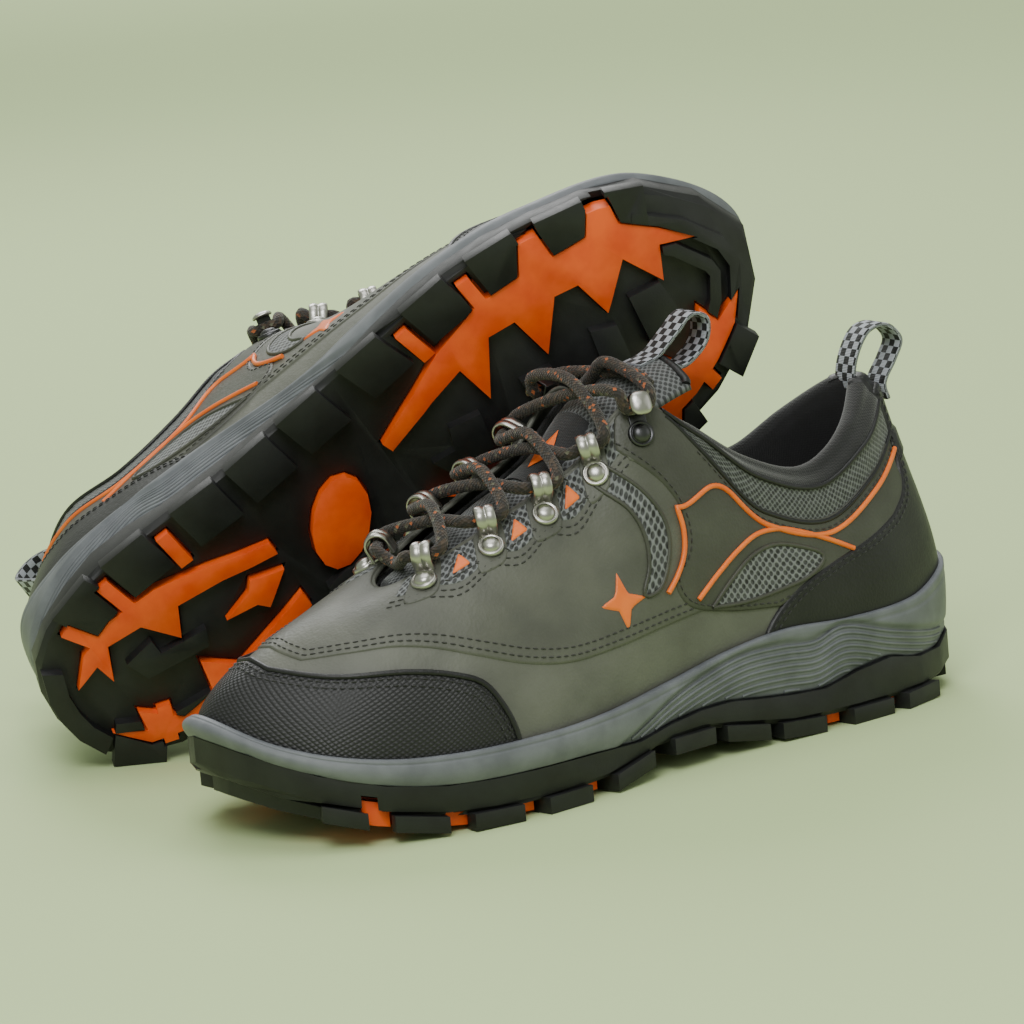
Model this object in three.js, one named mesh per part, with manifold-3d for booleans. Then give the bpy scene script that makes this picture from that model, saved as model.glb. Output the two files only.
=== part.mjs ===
// A pair of low-cut hiking shoes. The left one stands; the right one rests on its heel behind it,
// with its tread turned outwards.
// Millimetres, +Z up. A shoe is drawn in its own frame: X runs from the heel (0) to the toe,
// +Y is the lateral side of the left shoe, and the ground is Z = 0. The right shoe is its mirror.
import * as THREE from 'three';
import Module from 'manifold-3d';

const wasm = await Module();
wasm.setup();

// ---- Driving sizes ----
const SOLE_LENGTH = 306;
const SOLE_WIDTH = 106; // across the ball of the foot
const TOP_HEIGHT = 86; // heel tab above the footbed
const GAP = 0.3; // clearance between touching pieces

const LUG_DEPTH = 5;
const PLATE_THICKNESS = 3.6; // outsole between lug roots and midsole
const RIM_THICKNESS = 2.4; // upturned edge of the outsole
const FOOTBED_INSET = 5; // from the sole's edge to the upper's lower edge
const INSERT_LAYER = 1.2; // orange layer between outsole and midsole
const INSERT_INSET = 9;
const INSERT_RECESS = 1.2; // orange faces above the lug tips

const UPPER_THICKNESS = 1.6;
const LINING_DEPTH = 4; // lining's outer face below the upper's outer face
const LINING_THICKNESS = 1;
const OVERLAY_THICKNESS = 1.1; // toe cap, heel counter, saddles
const MIDSOLE_WALL = 3.6; // midsole's lip round the upper
const COLLAR_THICKNESS = 8;
const STIFFENER_DEPTH = 2.3; // below the upper's outer face
const STIFFENER_THICKNESS = 0.9;
const BOARD_THICKNESS = 1.4;
const INSOLE_THICKNESS = 4;
const TONGUE_THICKNESS = 5;

const LACE_DIAMETER = 4.4;
const TUNNEL_CLEARANCE = 1.4; // round the lace inside a metal loop
const LOOP_LENGTH = 7; // metal loop along the throat's edge
const METAL_WALL = 1.1;
const RIVET_RADIUS = 3.3;
const RING_RADIUS = 4.7;
const WEBBING_WIDTH = 11;
const WEBBING_THICKNESS = 1.5;
const HEEL_LOOP_HEIGHT = 21;
const TONGUE_LOOP_HEIGHT = 20;

// The right shoe: turned so its sole faces outwards, standing on its heel.
const RIGHT_TOE_UP = 30; // degrees its toe end rises
const RIGHT_HEADING = -29; // degrees its toe turns from +X, towards the left shoe's front
const RIGHT_ROLL = -75.6; // degrees it lies over, sole outwards
const RIGHT_ALONG = -292; // its heel's place along the left shoe, from that shoe's heel
const PAIR_GAP = 0.5; // nearest distance between the two shoes

// ---- Shape of the shoe ----
// Sole edge at twelve stations from the heel to the toe: share of the length, and the lateral and
// medial half widths as shares of the width.
const EDGE = [
  [0.0, 0.0, 0.0],
  [0.023, 0.226, -0.208],
  [0.101, 0.363, -0.33],
  [0.203, 0.406, -0.354],
  [0.301, 0.41, -0.325],
  [0.386, 0.415, -0.297],
  [0.48, 0.443, -0.311],
  [0.582, 0.5, -0.377],
  [0.686, 0.533, -0.453],
  [0.797, 0.5, -0.467],
  [0.925, 0.34, -0.363],
  [1.0, -0.057, -0.057],
];
// Top line at the same stations: share of the length, half width as a share of the width, and
// height above the footbed as a share of the heel tab's height.
const TOP = [
  [0.052, 0.0, 1.0],
  [0.078, 0.115, 0.99],
  [0.137, 0.236, 0.86],
  [0.216, 0.278, 0.735],
  [0.301, 0.288, 0.83],
  [0.382, 0.278, 1.03],
  [0.448, 0.226, 1.17],
  [0.523, 0.189, 0.955],
  [0.601, 0.165, 0.83],
  [0.68, 0.137, 0.71],
  [0.739, 0.085, 0.61],
  [0.755, 0.0, 0.575],
];
// How the wall bulges between the two: handle at the foot (forward, outward, up) and handle at the
// top (forward, outward, down), millimetres.
const BULGE = [
  [-9, 0, 20, -6, 0, 32],
  [-7, 5, 20, -4, 6, 32],
  [-2, 4, 20, 0, 7, 26],
  [0, 3, 19, 0, 6, 18],
  [0, 3, 19, 0, 6, 22],
  [0, 4, 20, 0, 9, 30],
  [0, 5, 22, 1, 15, 30],
  [0, 5, 21, 2, 16, 20],
  [0, 4, 19, 4, 18, 13],
  [0, 4, 18, 8, 19, 9],
  [4, 4, 19, 20, 13, 6],
  [5, 0, 20, 32, -1, 5],
];
const STATIONS = EDGE.length - 1;
const ROUND = 2 * STATIONS; // stations all the way round: 0 heel, 11 toe, 22 the heel again

// A smooth height or share along the length, through [share of length, value] rows.
function profile(rows) {
  return (x) => {
    const s = THREE.MathUtils.clamp(x / SOLE_LENGTH, rows[0][0], rows[rows.length - 1][0]);
    let i = 0;
    while (i < rows.length - 2 && s > rows[i + 1][0]) i += 1;
    const [a, p] = rows[i];
    const [b, q] = rows[i + 1];
    const t = (s - a) / (b - a);
    const slope = (j) => {
      const lo = rows[Math.max(j - 1, 0)];
      const hi = rows[Math.min(j + 1, rows.length - 1)];
      return (hi[1] - lo[1]) / (hi[0] - lo[0]);
    };
    const m = slope(i) * (b - a);
    const n = slope(i + 1) * (b - a);
    const t2 = t * t;
    const t3 = t2 * t;
    return (2 * t3 - 3 * t2 + 1) * p + (t3 - 2 * t2 + t) * m + (3 * t2 - 2 * t3) * q + (t3 - t2) * n;
  };
}
// Ground line of the tread: heel strike, flat heel, raised arch, flat ball, toe spring.
const rocker = profile([
  [0, 4], [0.05, 1], [0.1, 0], [0.29, 0], [0.34, 2], [0.43, 6.5], [0.5, 5.5],
  [0.56, 1.2], [0.61, 0], [0.78, 0.4], [0.84, 3], [0.9, 7.5], [0.95, 13], [1, 22],
]);
const footbedCore = profile([
  [0, 18], [0.2, 18], [0.33, 16], [0.5, 10.5], [0.65, 8.5], [0.8, 8.5], [1, 5.5],
]);
// Outsole's upturned edge and the midsole's lip, above the ground.
const rimHeight = profile([
  [0, 23], [0.05, 17], [0.11, 17], [0.15, 20], [0.2, 18.5], [0.25, 15], [0.33, 16.5], [0.4, 19],
  [0.47, 17.5], [0.52, 14.5], [0.6, 15.5], [0.8, 17], [0.88, 21.5], [0.95, 29], [1, 38],
]);
const lipHeight = profile([
  [0, 50], [0.05, 43], [0.1, 38.5], [0.2, 37.5], [0.3, 39], [0.38, 36.5], [0.47, 31.5],
  [0.56, 28], [0.64, 26.5], [0.8, 26.5], [0.88, 29.5], [0.95, 36], [1, 47],
]);
const plateBottom = (x) => rocker(x) + LUG_DEPTH;
const plateTop = (x) => plateBottom(x) + PLATE_THICKNESS;
const midsoleBottom = (x) => plateTop(x) + INSERT_LAYER + 3 * GAP;
const footbed = (x) => plateTop(x) + footbedCore(x);

const vec = (x, y, z) => new THREE.Vector3(x, y, z);
const side = (k) => (k <= STATIONS ? 1 : -1);
const station = (k) => (k <= STATIONS ? k : ROUND - k);
function loopCurve(point) {
  return new THREE.CatmullRomCurve3(
    Array.from({ length: ROUND }, (_, k) => point(station(k), side(k))), true, 'catmullrom', 0.5);
}
const edgeCurve = loopCurve((k, s) => {
  const [x, lateral, medial] = EDGE[k];
  return vec(x * SOLE_LENGTH, (s > 0 ? lateral : medial) * SOLE_WIDTH, 0);
});
const turn = (u) => THREE.MathUtils.euclideanModulo(u, ROUND) / ROUND;
// Sole edge at u, moved inwards, at height z (a number or a function of x).
function edge(u, inset, z) {
  const p = edgeCurve.getPoint(turn(u));
  const t = edgeCurve.getTangent(turn(u));
  const q = vec(p.x + t.y * inset, p.y - t.x * inset, 0);
  q.z = typeof z === 'function' ? z(q.x) : z;
  return q;
}
const feather = (u) => edge(u, FOOTBED_INSET, footbed);
function topPoint(k, s) {
  const [x, y, z] = TOP[k];
  const px = x * SOLE_LENGTH;
  return vec(px, s * y * SOLE_WIDTH, footbed(0.1 * SOLE_LENGTH) + z * TOP_HEIGHT);
}
const topCurve = loopCurve(topPoint);
const lowHandle = loopCurve((k, s) => vec(BULGE[k][0], s * BULGE[k][1], BULGE[k][2]));
const highHandle = loopCurve((k, s) => vec(BULGE[k][3], s * BULGE[k][4], -BULGE[k][5]));

// A point of the upper's outer face: u goes round the shoe, v from the footbed (0) to the top (1).
function face(u, v) {
  const foot = feather(u);
  const top = topCurve.getPoint(turn(u));
  const low = lowHandle.getPoint(turn(u)).add(foot);
  const high = highHandle.getPoint(turn(u)).add(top);
  const w = 1 - v;
  return foot.multiplyScalar(w * w * w)
    .addScaledVector(low, 3 * w * w * v)
    .addScaledVector(high, 3 * w * v * v)
    .addScaledVector(top, v * v * v);
}
function faceNormal(u, v) {
  const h = 0.02;
  const du = face(u + h, v).sub(face(u - h, v));
  const dv = face(u, Math.min(v + h, 1)).sub(face(u, Math.max(v - h, 0)));
  return dv.cross(du).normalize();
}
// A point `out` millimetres outside that face.
const skin = (u, v, out = 0) => face(u, v).addScaledVector(faceNormal(u, v), out);

// The v at which the face at u reaches a height, or lies a distance below its top line.
function vAtHeight(u, height) {
  let lo = 0;
  let hi = 1;
  for (let i = 0; i < 24; i += 1) {
    const mid = (lo + hi) / 2;
    if (face(u, mid).z < height) lo = mid;
    else hi = mid;
  }
  return lo;
}
function vBelowTop(u, distance) {
  if (distance < 0.01) return 1;
  const steps = 40;
  let last = face(u, 1);
  let run = 0;
  for (let i = 1; i <= steps; i += 1) {
    const p = face(u, 1 - i / steps);
    const step = p.distanceTo(last);
    if (run + step >= distance) return 1 - (i - 1 + (distance - run) / step) / steps;
    run += step;
    last = p;
  }
  return 0;
}
const vLip = (u) => vAtHeight(u, lipHeight(feather(u).x));

// ---- Solids ----
// A closed mesh from points and triangles; points that coincide are joined and spent triangles dropped.
function closedMesh(points, faces) {
  const seen = new Map();
  const kept = [];
  const id = points.map((p) => {
    const key = `${Math.round(p.x * 1e4)},${Math.round(p.y * 1e4)},${Math.round(p.z * 1e4)}`;
    if (!seen.has(key)) seen.set(key, kept.push(p) - 1);
    return seen.get(key);
  });
  const real = faces.map((f) => f.map((i) => id[i]))
    .filter(([i, j, k]) => i !== j && j !== k && k !== i);
  let volume = 0;
  real.forEach(([i, j, k]) => {
    volume += kept[i].dot(vec(0, 0, 0).crossVectors(kept[j], kept[k]));
  });
  const geometry = new THREE.BufferGeometry();
  const position = new THREE.Float32BufferAttribute(kept.flatMap((p) => p.toArray()), 3);
  geometry.setAttribute('position', position);
  geometry.setIndex(real.flatMap(([i, j, k]) => (volume > 0 ? [i, j, k] : [i, k, j])));
  return geometry;
}
// Rings of equal length joined in order; a cap is a ladder between opposite points of a ring.
function ringSolid(rings, capped) {
  const n = rings[0].length;
  const points = rings.flat();
  const faces = [];
  const quad = (a, b, c, d) => faces.push([a, b, c], [a, c, d]);
  const joins = capped ? rings.length - 1 : rings.length;
  for (let r = 0; r < joins; r += 1) {
    const s = (r + 1) % rings.length;
    for (let i = 0; i < n; i += 1) {
      const j = (i + 1) % n;
      quad(r * n + i, r * n + j, s * n + j, s * n + i);
    }
  }
  if (capped) {
    [[0, false], [rings.length - 1, true]].forEach(([r, flip]) => {
      const at = (i) => r * n + ((i + n) % n);
      const tri = (a, b, c) => faces.push(flip ? [a, c, b] : [a, b, c]);
      for (let i = 0; i < n / 2; i += 1) {
        if (i > 0) tri(at(i), at(-i), at(-i - 1));
        if (i < n / 2 - 1) tri(at(i), at(-i - 1), at(i + 1));
      }
    });
  }
  return closedMesh(points, faces);
}
const AROUND = 2 * ROUND; // points round a ring
const ringU = Array.from({ length: AROUND }, (_, i) => (i * ROUND) / AROUND);
const ring = (point) => ringU.map(point);

// A ring on the sole whose lateral and medial points pair up at equal places along the length.
function evenRing(inset, z) {
  const reach = (u) => edge(u, inset, 0).x;
  const half = AROUND / 2;
  const at = (x, s) => {
    let lo = 0;
    let hi = STATIONS;
    for (let i = 0; i < 22; i += 1) {
      const mid = (lo + hi) / 2;
      if (reach(s * mid) < x) lo = mid;
      else hi = mid;
    }
    return edge(s * lo, inset, z);
  };
  const place = (i) => {
    const x = THREE.MathUtils.lerp(reach(0), reach(STATIONS), (1 - Math.cos((Math.PI * i) / half)) / 2);
    return x;
  };
  return Array.from({ length: AROUND }, (_, i) => {
    if (i === 0) return edge(0, inset, z);
    if (i === half) return edge(STATIONS, inset, z);
    return i < half ? at(place(i), 1) : at(place(AROUND - i), -1);
  });
}

// The upper's layers share one lattice, so their faces stay parallel.
const LATTICE_U = 0.5;
const LATTICE_V = 6;
const lattice = (low, high) => Array.from({ length: LATTICE_V + 1 },
  (_, i) => THREE.MathUtils.clamp(i / LATTICE_V, low, high));

// A band of the upper between two v lines all the way round, as a closed sleeve.
function sleeve(vLow, vHigh, outer, inner) {
  const layer = (depth) => Array.from({ length: LATTICE_V + 1 },
    (_, i) => ring((u) => skin(u, THREE.MathUtils.clamp(i / LATTICE_V, vLow(u), vHigh(u)), depth)));
  return ringSolid([...layer(outer), ...layer(inner).reverse()], false);
}
// A patch of the upper's face between u0 and u1, as a closed plate.
function patch(u0, u1, vLow, vHigh, outer, inner, rows = null) {
  const us = [u0];
  for (let u = Math.ceil((u0 + 0.05) / LATTICE_U) * LATTICE_U; u < u1 - 0.05; u += LATTICE_U) us.push(u);
  us.push(u1);
  const vs = us.map((u) => (rows
    ? rows.map((t) => THREE.MathUtils.lerp(vLow(u), vHigh(u), t)) : lattice(vLow(u), vHigh(u))));
  const points = [];
  const faces = [];
  const row = vs[0].length;
  [outer, inner].forEach((depth) => {
    us.forEach((u, i) => vs[i].forEach((v, j) => {
      const d = typeof depth === 'function' ? depth((u - u0) / (u1 - u0), rows ? rows[j] : v) : depth;
      points.push(skin(u, v, d));
    }));
  });
  const layer = us.length * row;
  const quad = (a, b, c, d) => faces.push([a, b, c], [a, c, d]);
  for (let i = 0; i < us.length - 1; i += 1) {
    for (let j = 0; j < row - 1; j += 1) {
      const a = i * row + j;
      quad(a, a + row, a + row + 1, a + 1);
      quad(layer + a, layer + a + 1, layer + a + row + 1, layer + a + row);
    }
    const low = i * row;
    quad(low, layer + low, layer + low + row, low + row);
    const high = low + row - 1;
    quad(high, high + row, layer + high + row, layer + high);
  }
  for (let j = 0; j < row - 1; j += 1) {
    quad(j, j + 1, layer + j + 1, layer + j);
    const far = (us.length - 1) * row + j;
    quad(far, layer + far, layer + far + 1, far + 1);
  }
  return closedMesh(points, faces);
}

function solid(geometry) {
  const g = geometry.index ? geometry : geometry.clone();
  const position = g.attributes.position.array;
  const mesh = new wasm.Mesh({
    numProp: 3,
    vertProperties: new Float32Array(position),
    triVerts: g.index ? new Uint32Array(g.index.array) : Uint32Array.from({ length: position.length / 3 }, (_, i) => i),
  });
  mesh.merge();
  return new wasm.Manifold(mesh);
}
function geometryOf(body) {
  const mesh = body.getMesh();
  const geometry = new THREE.BufferGeometry();
  geometry.setAttribute('position', new THREE.Float32BufferAttribute(mesh.vertProperties, 3));
  geometry.setIndex(Array.from(mesh.triVerts));
  return geometry;
}
const joined = (pieces) => wasm.Manifold.union(pieces.map(solid));

// A prism over an outline of [x, y] points, between two heights that follow the length.
function prism(outline, low, high) {
  const flat = outline.map(([x, y]) => new THREE.Vector2(x, y));
  if (THREE.ShapeUtils.isClockWise(flat)) flat.reverse();
  const n = flat.length;
  const points = [low, high].flatMap((height) => flat.map((p) => vec(p.x, p.y, height(p.x))));
  const faces = [];
  THREE.ShapeUtils.triangulateShape(flat, []).forEach(([a, b, c]) => {
    faces.push([c, b, a], [n + a, n + b, n + c]);
  });
  for (let i = 0; i < n; i += 1) {
    const j = (i + 1) % n;
    faces.push([i, j, n + j], [i, n + j, n + i]);
  }
  return closedMesh(points, faces);
}
// An outline moved outwards by a distance, corner by corner.
function grown(outline, distance) {
  const flat = outline.map(([x, y]) => new THREE.Vector2(x, y));
  const sign = THREE.ShapeUtils.isClockWise(flat) ? -1 : 1;
  return flat.map((p, i) => {
    const a = p.clone().sub(flat[(i + flat.length - 1) % flat.length]).normalize();
    const b = flat[(i + 1) % flat.length].clone().sub(p).normalize();
    const out = new THREE.Vector2(a.y + b.y, -a.x - b.x);
    const reach = Math.max(out.length() ** 2 / 2, 0.35);
    return p.clone().addScaledVector(out, (sign * distance) / reach).toArray();
  });
}
// Outlines on the sole are drawn in shares of its length (percent) and width (percent).
const onSole = (rows) => rows.map(([x, y]) => [(x / 100) * SOLE_LENGTH, (y / 100) * SOLE_WIDTH]);

// ---- Sole ----
const HEEL_INSERT_LATERAL = onSole([
  [33, 11], [25.5, 18], [19, 22.5], [12.5, 22.5], [7.5, 17], [4.5, 7.5], [8, 11], [8.5, 3],
  [10.5, 15], [15, 14], [18, 2], [20, 12.5], [26, 10.5], [33, 6],
]);
const HEEL_INSERT_MEDIAL = onSole([
  [32.5, -11], [26, -15.5], [21.5, -19], [18, -9.5], [17, -21.5], [12.5, -23], [8.5, -11.5],
  [8, -19.5], [4.5, -13], [7.5, -24], [13, -28.5], [20, -27.5], [26, -23.5], [32.5, -17],
]);
const HEEL_ARROW = onSole([
  [32.5, 0], [28.5, 4.5], [27.5, 1], [23.5, -2.5], [27.5, -4.5], [28.5, -8],
]);
const FORE_INSERT_LATERAL = onSole([
  [50.5, 15], [56, 24], [62, 33], [69, 39], [75, 38.5], [77, 48], [79.5, 48], [79.5, 37], [84, 35],
  [86, 43], [88.5, 41], [88, 31], [91.5, 20], [94.5, 8], [90.5, 15], [88.5, 4], [86, 20], [81, 8],
  [80, 23], [77, 25], [72.5, 9], [71.5, 26], [68, 27], [64, 8], [63, 23], [58, 19], [51, 11],
]);
const FORE_INSERT_MEDIAL = onSole([
  [51, -10], [58, -15], [62, -19], [64.5, -9], [67, -22], [71, -23.5], [74, -13], [76.5, -25.5],
  [79.5, -26], [82.5, -15], [84.5, -25.5], [87, -24.5], [90, -12.5], [91, -21], [95, -18],
  [92.5, -26], [88.5, -32], [84, -36.5], [81.5, -37.5], [80, -44], [78, -38], [74, -36.5],
  [68, -32], [61, -26.5], [55, -18],
]);
const OVAL_CENTRE = [0.411, 0.0];
const OVAL_RADII = [17.5, 11];
const OVAL_TURN = 50; // degrees from the length
const OVAL = Array.from({ length: 14 }, (_, i) => {
  const a = (i * Math.PI) / 7;
  const c = Math.cos(THREE.MathUtils.degToRad(OVAL_TURN));
  const s = Math.sin(THREE.MathUtils.degToRad(OVAL_TURN));
  const x = OVAL_RADII[0] * Math.cos(a);
  const y = OVAL_RADII[1] * Math.sin(a);
  return [OVAL_CENTRE[0] * SOLE_LENGTH + x * c - y * s, OVAL_CENTRE[1] * SOLE_WIDTH + x * s + y * c];
});
// The u on one side of the sole at which its edge reaches a share of the length.
function uAtLength(share, s) {
  let lo = 0;
  let hi = STATIONS;
  for (let i = 0; i < 24; i += 1) {
    const mid = (lo + hi) / 2;
    if (edgeCurve.getPoint(turn(s * mid)).x < share * SOLE_LENGTH) lo = mid;
    else hi = mid;
  }
  return s * lo;
}
// A block on the sole's edge: half length along the edge, from one inset to another.
function edgeBlock(share, s, half, insetOut, insetIn, slant = 0) {
  const u = uAtLength(share, s);
  const p = edge(u, 0, 0);
  const inner = edge(u, 1, 0).sub(p);
  const along = vec(-inner.y, inner.x, 0).multiplyScalar(s);
  const corner = (a, b) => {
    const q = p.clone().addScaledVector(along, a).addScaledVector(inner, b);
    return [q.x, q.y];
  };
  return [corner(-half, insetOut), corner(half, insetOut), corner(half + slant, insetIn),
    corner(-half + slant, insetIn)];
}
const BAR_PLACES = [[0.07, 1], [0.142, 1], [0.235, 1], [0.598, 1], [0.693, 1], [0.787, 1], [0.87, 1],
  [0.09, -1], [0.87, -1]];
const LUG_PLACES = {
  lateral: [0.105, 0.188, 0.29, 0.37, 0.45, 0.545, 0.645, 0.74, 0.828, 0.905],
  medial: [0.05, 0.14, 0.215, 0.295, 0.38, 0.47, 0.56, 0.64, 0.72, 0.8, 0.915],
};
const LUG_HALF = 9.5;
const LUG_REACH = 16;
const LUG_PROUD = 1.6; // side lugs beyond the sole's edge
const CENTRE_LUGS = [
  [[12, -3], [20, -6], [21, 0], [15, 2], [15, 8], [11, 6]],
  [[55, -6], [61, -7], [62, 6], [58, 8], [57, 0], [54, 0]],
  [[64, -7], [71, -12], [72, 5], [68, 7], [68, -4], [65, -2]],
  [[74, -11], [80, -13], [81, 3], [78, 7], [77, -5], [74, -5]],
  [[83, -12], [88, -11], [88, 5], [84, 8]],
].map(onSole);
// Toe arcs: bars that follow the toe's edge.
const TOE_ARCS = [[7.5, 4.5], [16, 4.5]];

function sole() {
  const features = [HEEL_INSERT_LATERAL, HEEL_INSERT_MEDIAL, HEEL_ARROW, FORE_INSERT_LATERAL,
    FORE_INSERT_MEDIAL, OVAL, ...BAR_PLACES.map(([x, s]) => edgeBlock(x, s, 2.6, 4.6, 19, 1))];
  const tray = ringSolid([
    evenRing(2, plateBottom),
    ring((u) => edge(u, 0, (x) => plateBottom(x) + 2)),
    ring((u) => edge(u, 0, rimHeight)),
    ring((u) => edge(u, RIM_THICKNESS, rimHeight)),
    ring((u) => edge(u, RIM_THICKNESS, plateTop)),
    evenRing(RIM_THICKNESS + 2, plateTop),
  ], true);
  const lugRoot = (x) => plateBottom(x) + 0.8;
  const blocks = [];
  [['lateral', 1], ['medial', -1]].forEach(([name, s]) => {
    LUG_PLACES[name].forEach((share) => {
      const outline = edgeBlock(share, s, LUG_HALF * (share > 0.88 ? 0.8 : 1), -LUG_PROUD, LUG_REACH, 2);
      blocks.push(prism(outline, rocker, lugRoot));
    });
  });
  CENTRE_LUGS.forEach((outline) => blocks.push(prism(outline, rocker, lugRoot)));
  TOE_ARCS.forEach(([inset, width]) => {
    const us = [9.9, 10.4, 10.8, 11.2, 11.6, 12.1];
    const out = us.map((u) => edge(u, inset, 0)).map((p) => [p.x, p.y]);
    const back = us.map((u) => edge(u, inset + width, 0)).map((p) => [p.x, p.y]).reverse();
    blocks.push(prism([...out, ...back], rocker, lugRoot));
  });
  const heelArc = [-0.9, -0.4, 0, 0.4, 0.9];
  blocks.push(prism([
    ...heelArc.map((u) => edge(u, 1.5, 0)).map((p) => [p.x, p.y]),
    ...heelArc.map((u) => edge(u, 9, 0)).map((p) => [p.x, p.y]).reverse(),
  ], rocker, lugRoot));
  const windows = features.map((f) => prism(grown(f, 0.8), () => -5, (x) => plateTop(x) + 3));
  const outsole = joined([tray, ...blocks]).subtract(joined(windows));
  const slab = (inset, low, high) => solid(ringSolid([evenRing(inset, low), evenRing(inset, high)], true));
  const layer = slab(INSERT_INSET, (x) => plateTop(x) + GAP, (x) => plateTop(x) + GAP + INSERT_LAYER);
  const pegs = joined(features.map((f) => prism(f, () => -5, () => 60)))
    .intersect(slab(RIM_THICKNESS + 1, (x) => rocker(x) + INSERT_RECESS, (x) => plateTop(x) + GAP + 0.6));
  const biggest = (body) => geometryOf(body.decompose().sort((a, b) => b.volume() - a.volume())[0]);
  return {
    outsole: biggest(outsole),
    inserts: biggest(layer.add(pegs)),
  };
}

function midsole() {
  const lip = (u) => vLip(u);
  const inner = 1.5 * GAP;
  return ringSolid([
    evenRing(RIM_THICKNESS + 3, midsoleBottom),
    ring((u) => edge(u, RIM_THICKNESS + GAP + 0.3, midsoleBottom)),
    ring((u) => edge(u, RIM_THICKNESS + GAP, (x) => rimHeight(x) + GAP)),
    ring((u) => edge(u, 0.6, (x) => rimHeight(x) + GAP)),
    ring((u) => {
      const p = edge(u, 0.4, 0);
      p.z = THREE.MathUtils.lerp(rimHeight(p.x), lipHeight(p.x), 0.5);
      return p;
    }),
    ring((u) => skin(u, lip(u), MIDSOLE_WALL)),
    ...Array.from({ length: LATTICE_V + 1 }, (_, j) => ring(
      (u) => skin(u, THREE.MathUtils.clamp(1 - j / LATTICE_V, 0, lip(u)), inner))),
    evenRing(FOOTBED_INSET + UPPER_THICKNESS, (x) => footbed(x) - 4 * GAP),
  ], true);
}

// ---- Upper ----
const COLLAR_END = 5.5; // stations from the heel at which the padded collar stops
const COLLAR_FADE = 1.5;
const COLLAR_BAND = 18; // its height on the outside
const smooth = (a, b, x) => THREE.MathUtils.smoothstep(x, a, b);
const fromHeel = (u) => {
  const k = THREE.MathUtils.euclideanModulo(u, ROUND);
  return Math.min(k, ROUND - k);
};
const band = (u) => COLLAR_BAND * (1 - 0.85 * smooth(COLLAR_END - COLLAR_FADE, COLLAR_END, fromHeel(u)));
const collared = (u) => fromHeel(u) < COLLAR_END + 0.05;
const vUpperTop = (u) => (collared(u) ? vBelowTop(u, band(u) + GAP) : 1);
const vLiningTop = (u) => vBelowTop(u, collared(u) ? band(u) + GAP : 1.2);

const upper = () => sleeve(() => 0.02, vUpperTop, 0, -UPPER_THICKNESS);
const lining = () => sleeve(() => 0.02, vLiningTop, -LINING_DEPTH, -LINING_DEPTH - LINING_THICKNESS);
const stiffener = (u0, u1, top) => patch(u0, u1, () => 0.06, () => top, -STIFFENER_DEPTH,
  -STIFFENER_DEPTH - STIFFENER_THICKNESS);
const overlay = (u0, u1, vLow, vHigh) => patch(u0, u1, vLow, vHigh, GAP + OVERLAY_THICKNESS, GAP);
const collar = () => patch(-COLLAR_END, COLLAR_END, (u) => vBelowTop(u, band(u)), () => 1,
  (s, t) => -2.6 * smooth(0.6, 1, t), (s, t) => {
    const ends = Math.min(s, 1 - s);
    const body = THREE.MathUtils.lerp(UPPER_THICKNESS + 1.4, COLLAR_THICKNESS, smooth(0, 0.12, ends));
    return -body + (body - 3.4) * 0.6 * smooth(0.55, 1, t);
  }, [0, 0.35, 0.65, 0.85, 1]);

// A height along the upper's own stations, [stations from one end, height above the ground] rows.
function rows(table, k) {
  let i = 0;
  while (i < table.length - 2 && k > table[i + 1][0]) i += 1;
  const [a, p] = table[i];
  const [b, q] = table[i + 1];
  return THREE.MathUtils.lerp(p, q, THREE.MathUtils.clamp((k - a) / (b - a), 0, 1));
}
const vOverLip = (u) => vAtHeight(u, lipHeight(feather(u).x) + 1.5);
const TOE_CAP = [[0, 58], [0.7, 57], [1.4, 55], [2, 51], [2.5, 42], [2.95, 31]];
const COUNTER = [[0, 108], [0.6, 106], [1, 96], [1.3, 84], [1.9, 71], [2.6, 64], [3.2, 58], [3.8, 48],
  [4.1, 42]];
const toeCap = () => overlay(STATIONS - 2.9, STATIONS + 2.9, vOverLip,
  (u) => Math.max(vAtHeight(u, rows(TOE_CAP, STATIONS - fromHeel(u))), vOverLip(u) + 0.02));
const heelCounter = () => overlay(-4, 4, vOverLip,
  (u) => Math.max(vAtHeight(u, rows(COUNTER, fromHeel(u))), vOverLip(u) + 0.02));
const SADDLE_FROM = 3.35;
const SADDLE_TO = 5.5;
const SADDLE_FOOT = [[3.35, 71], [4.4, 62], [5, 55], [5.5, 60]];
const saddle = (s) => overlay(s > 0 ? SADDLE_FROM : -SADDLE_TO, s > 0 ? SADDLE_TO : -SADDLE_FROM,
  (u) => vAtHeight(u, rows(SADDLE_FOOT, fromHeel(u))), (u) => vBelowTop(u, band(u) + 1.5));

// ---- Plates under the foot ----
function footbedPlate(inset, low, high) {
  const at = (lift) => evenRing(FOOTBED_INSET + inset, (x) => footbed(x) + lift);
  return ringSolid([at(low), at(high)], true);
}
const INSOLE_INSET = LINING_DEPTH + LINING_THICKNESS + 1.6;
const insoleBoard = () => footbedPlate(INSOLE_INSET, GAP, GAP + BOARD_THICKNESS);
const insole = () => footbedPlate(INSOLE_INSET, 2 * GAP + BOARD_THICKNESS,
  2 * GAP + BOARD_THICKNESS + INSOLE_THICKNESS);
const SHANK = [[33, -7], [55, -7], [55, 7], [33, 7]];
const SHANK_THICKNESS = 1.2;
const shankLow = (x) => footbed(x) - 1 - SHANK_THICKNESS;
const shank = () => prism(onSole(SHANK), shankLow, (x) => shankLow(x) + SHANK_THICKNESS);
const midsoleWithPocket = () => geometryOf(solid(midsole()).subtract(solid(prism(
  grown(onSole(SHANK), GAP), (x) => shankLow(x) - GAP, (x) => footbed(x) + 1))));

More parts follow.
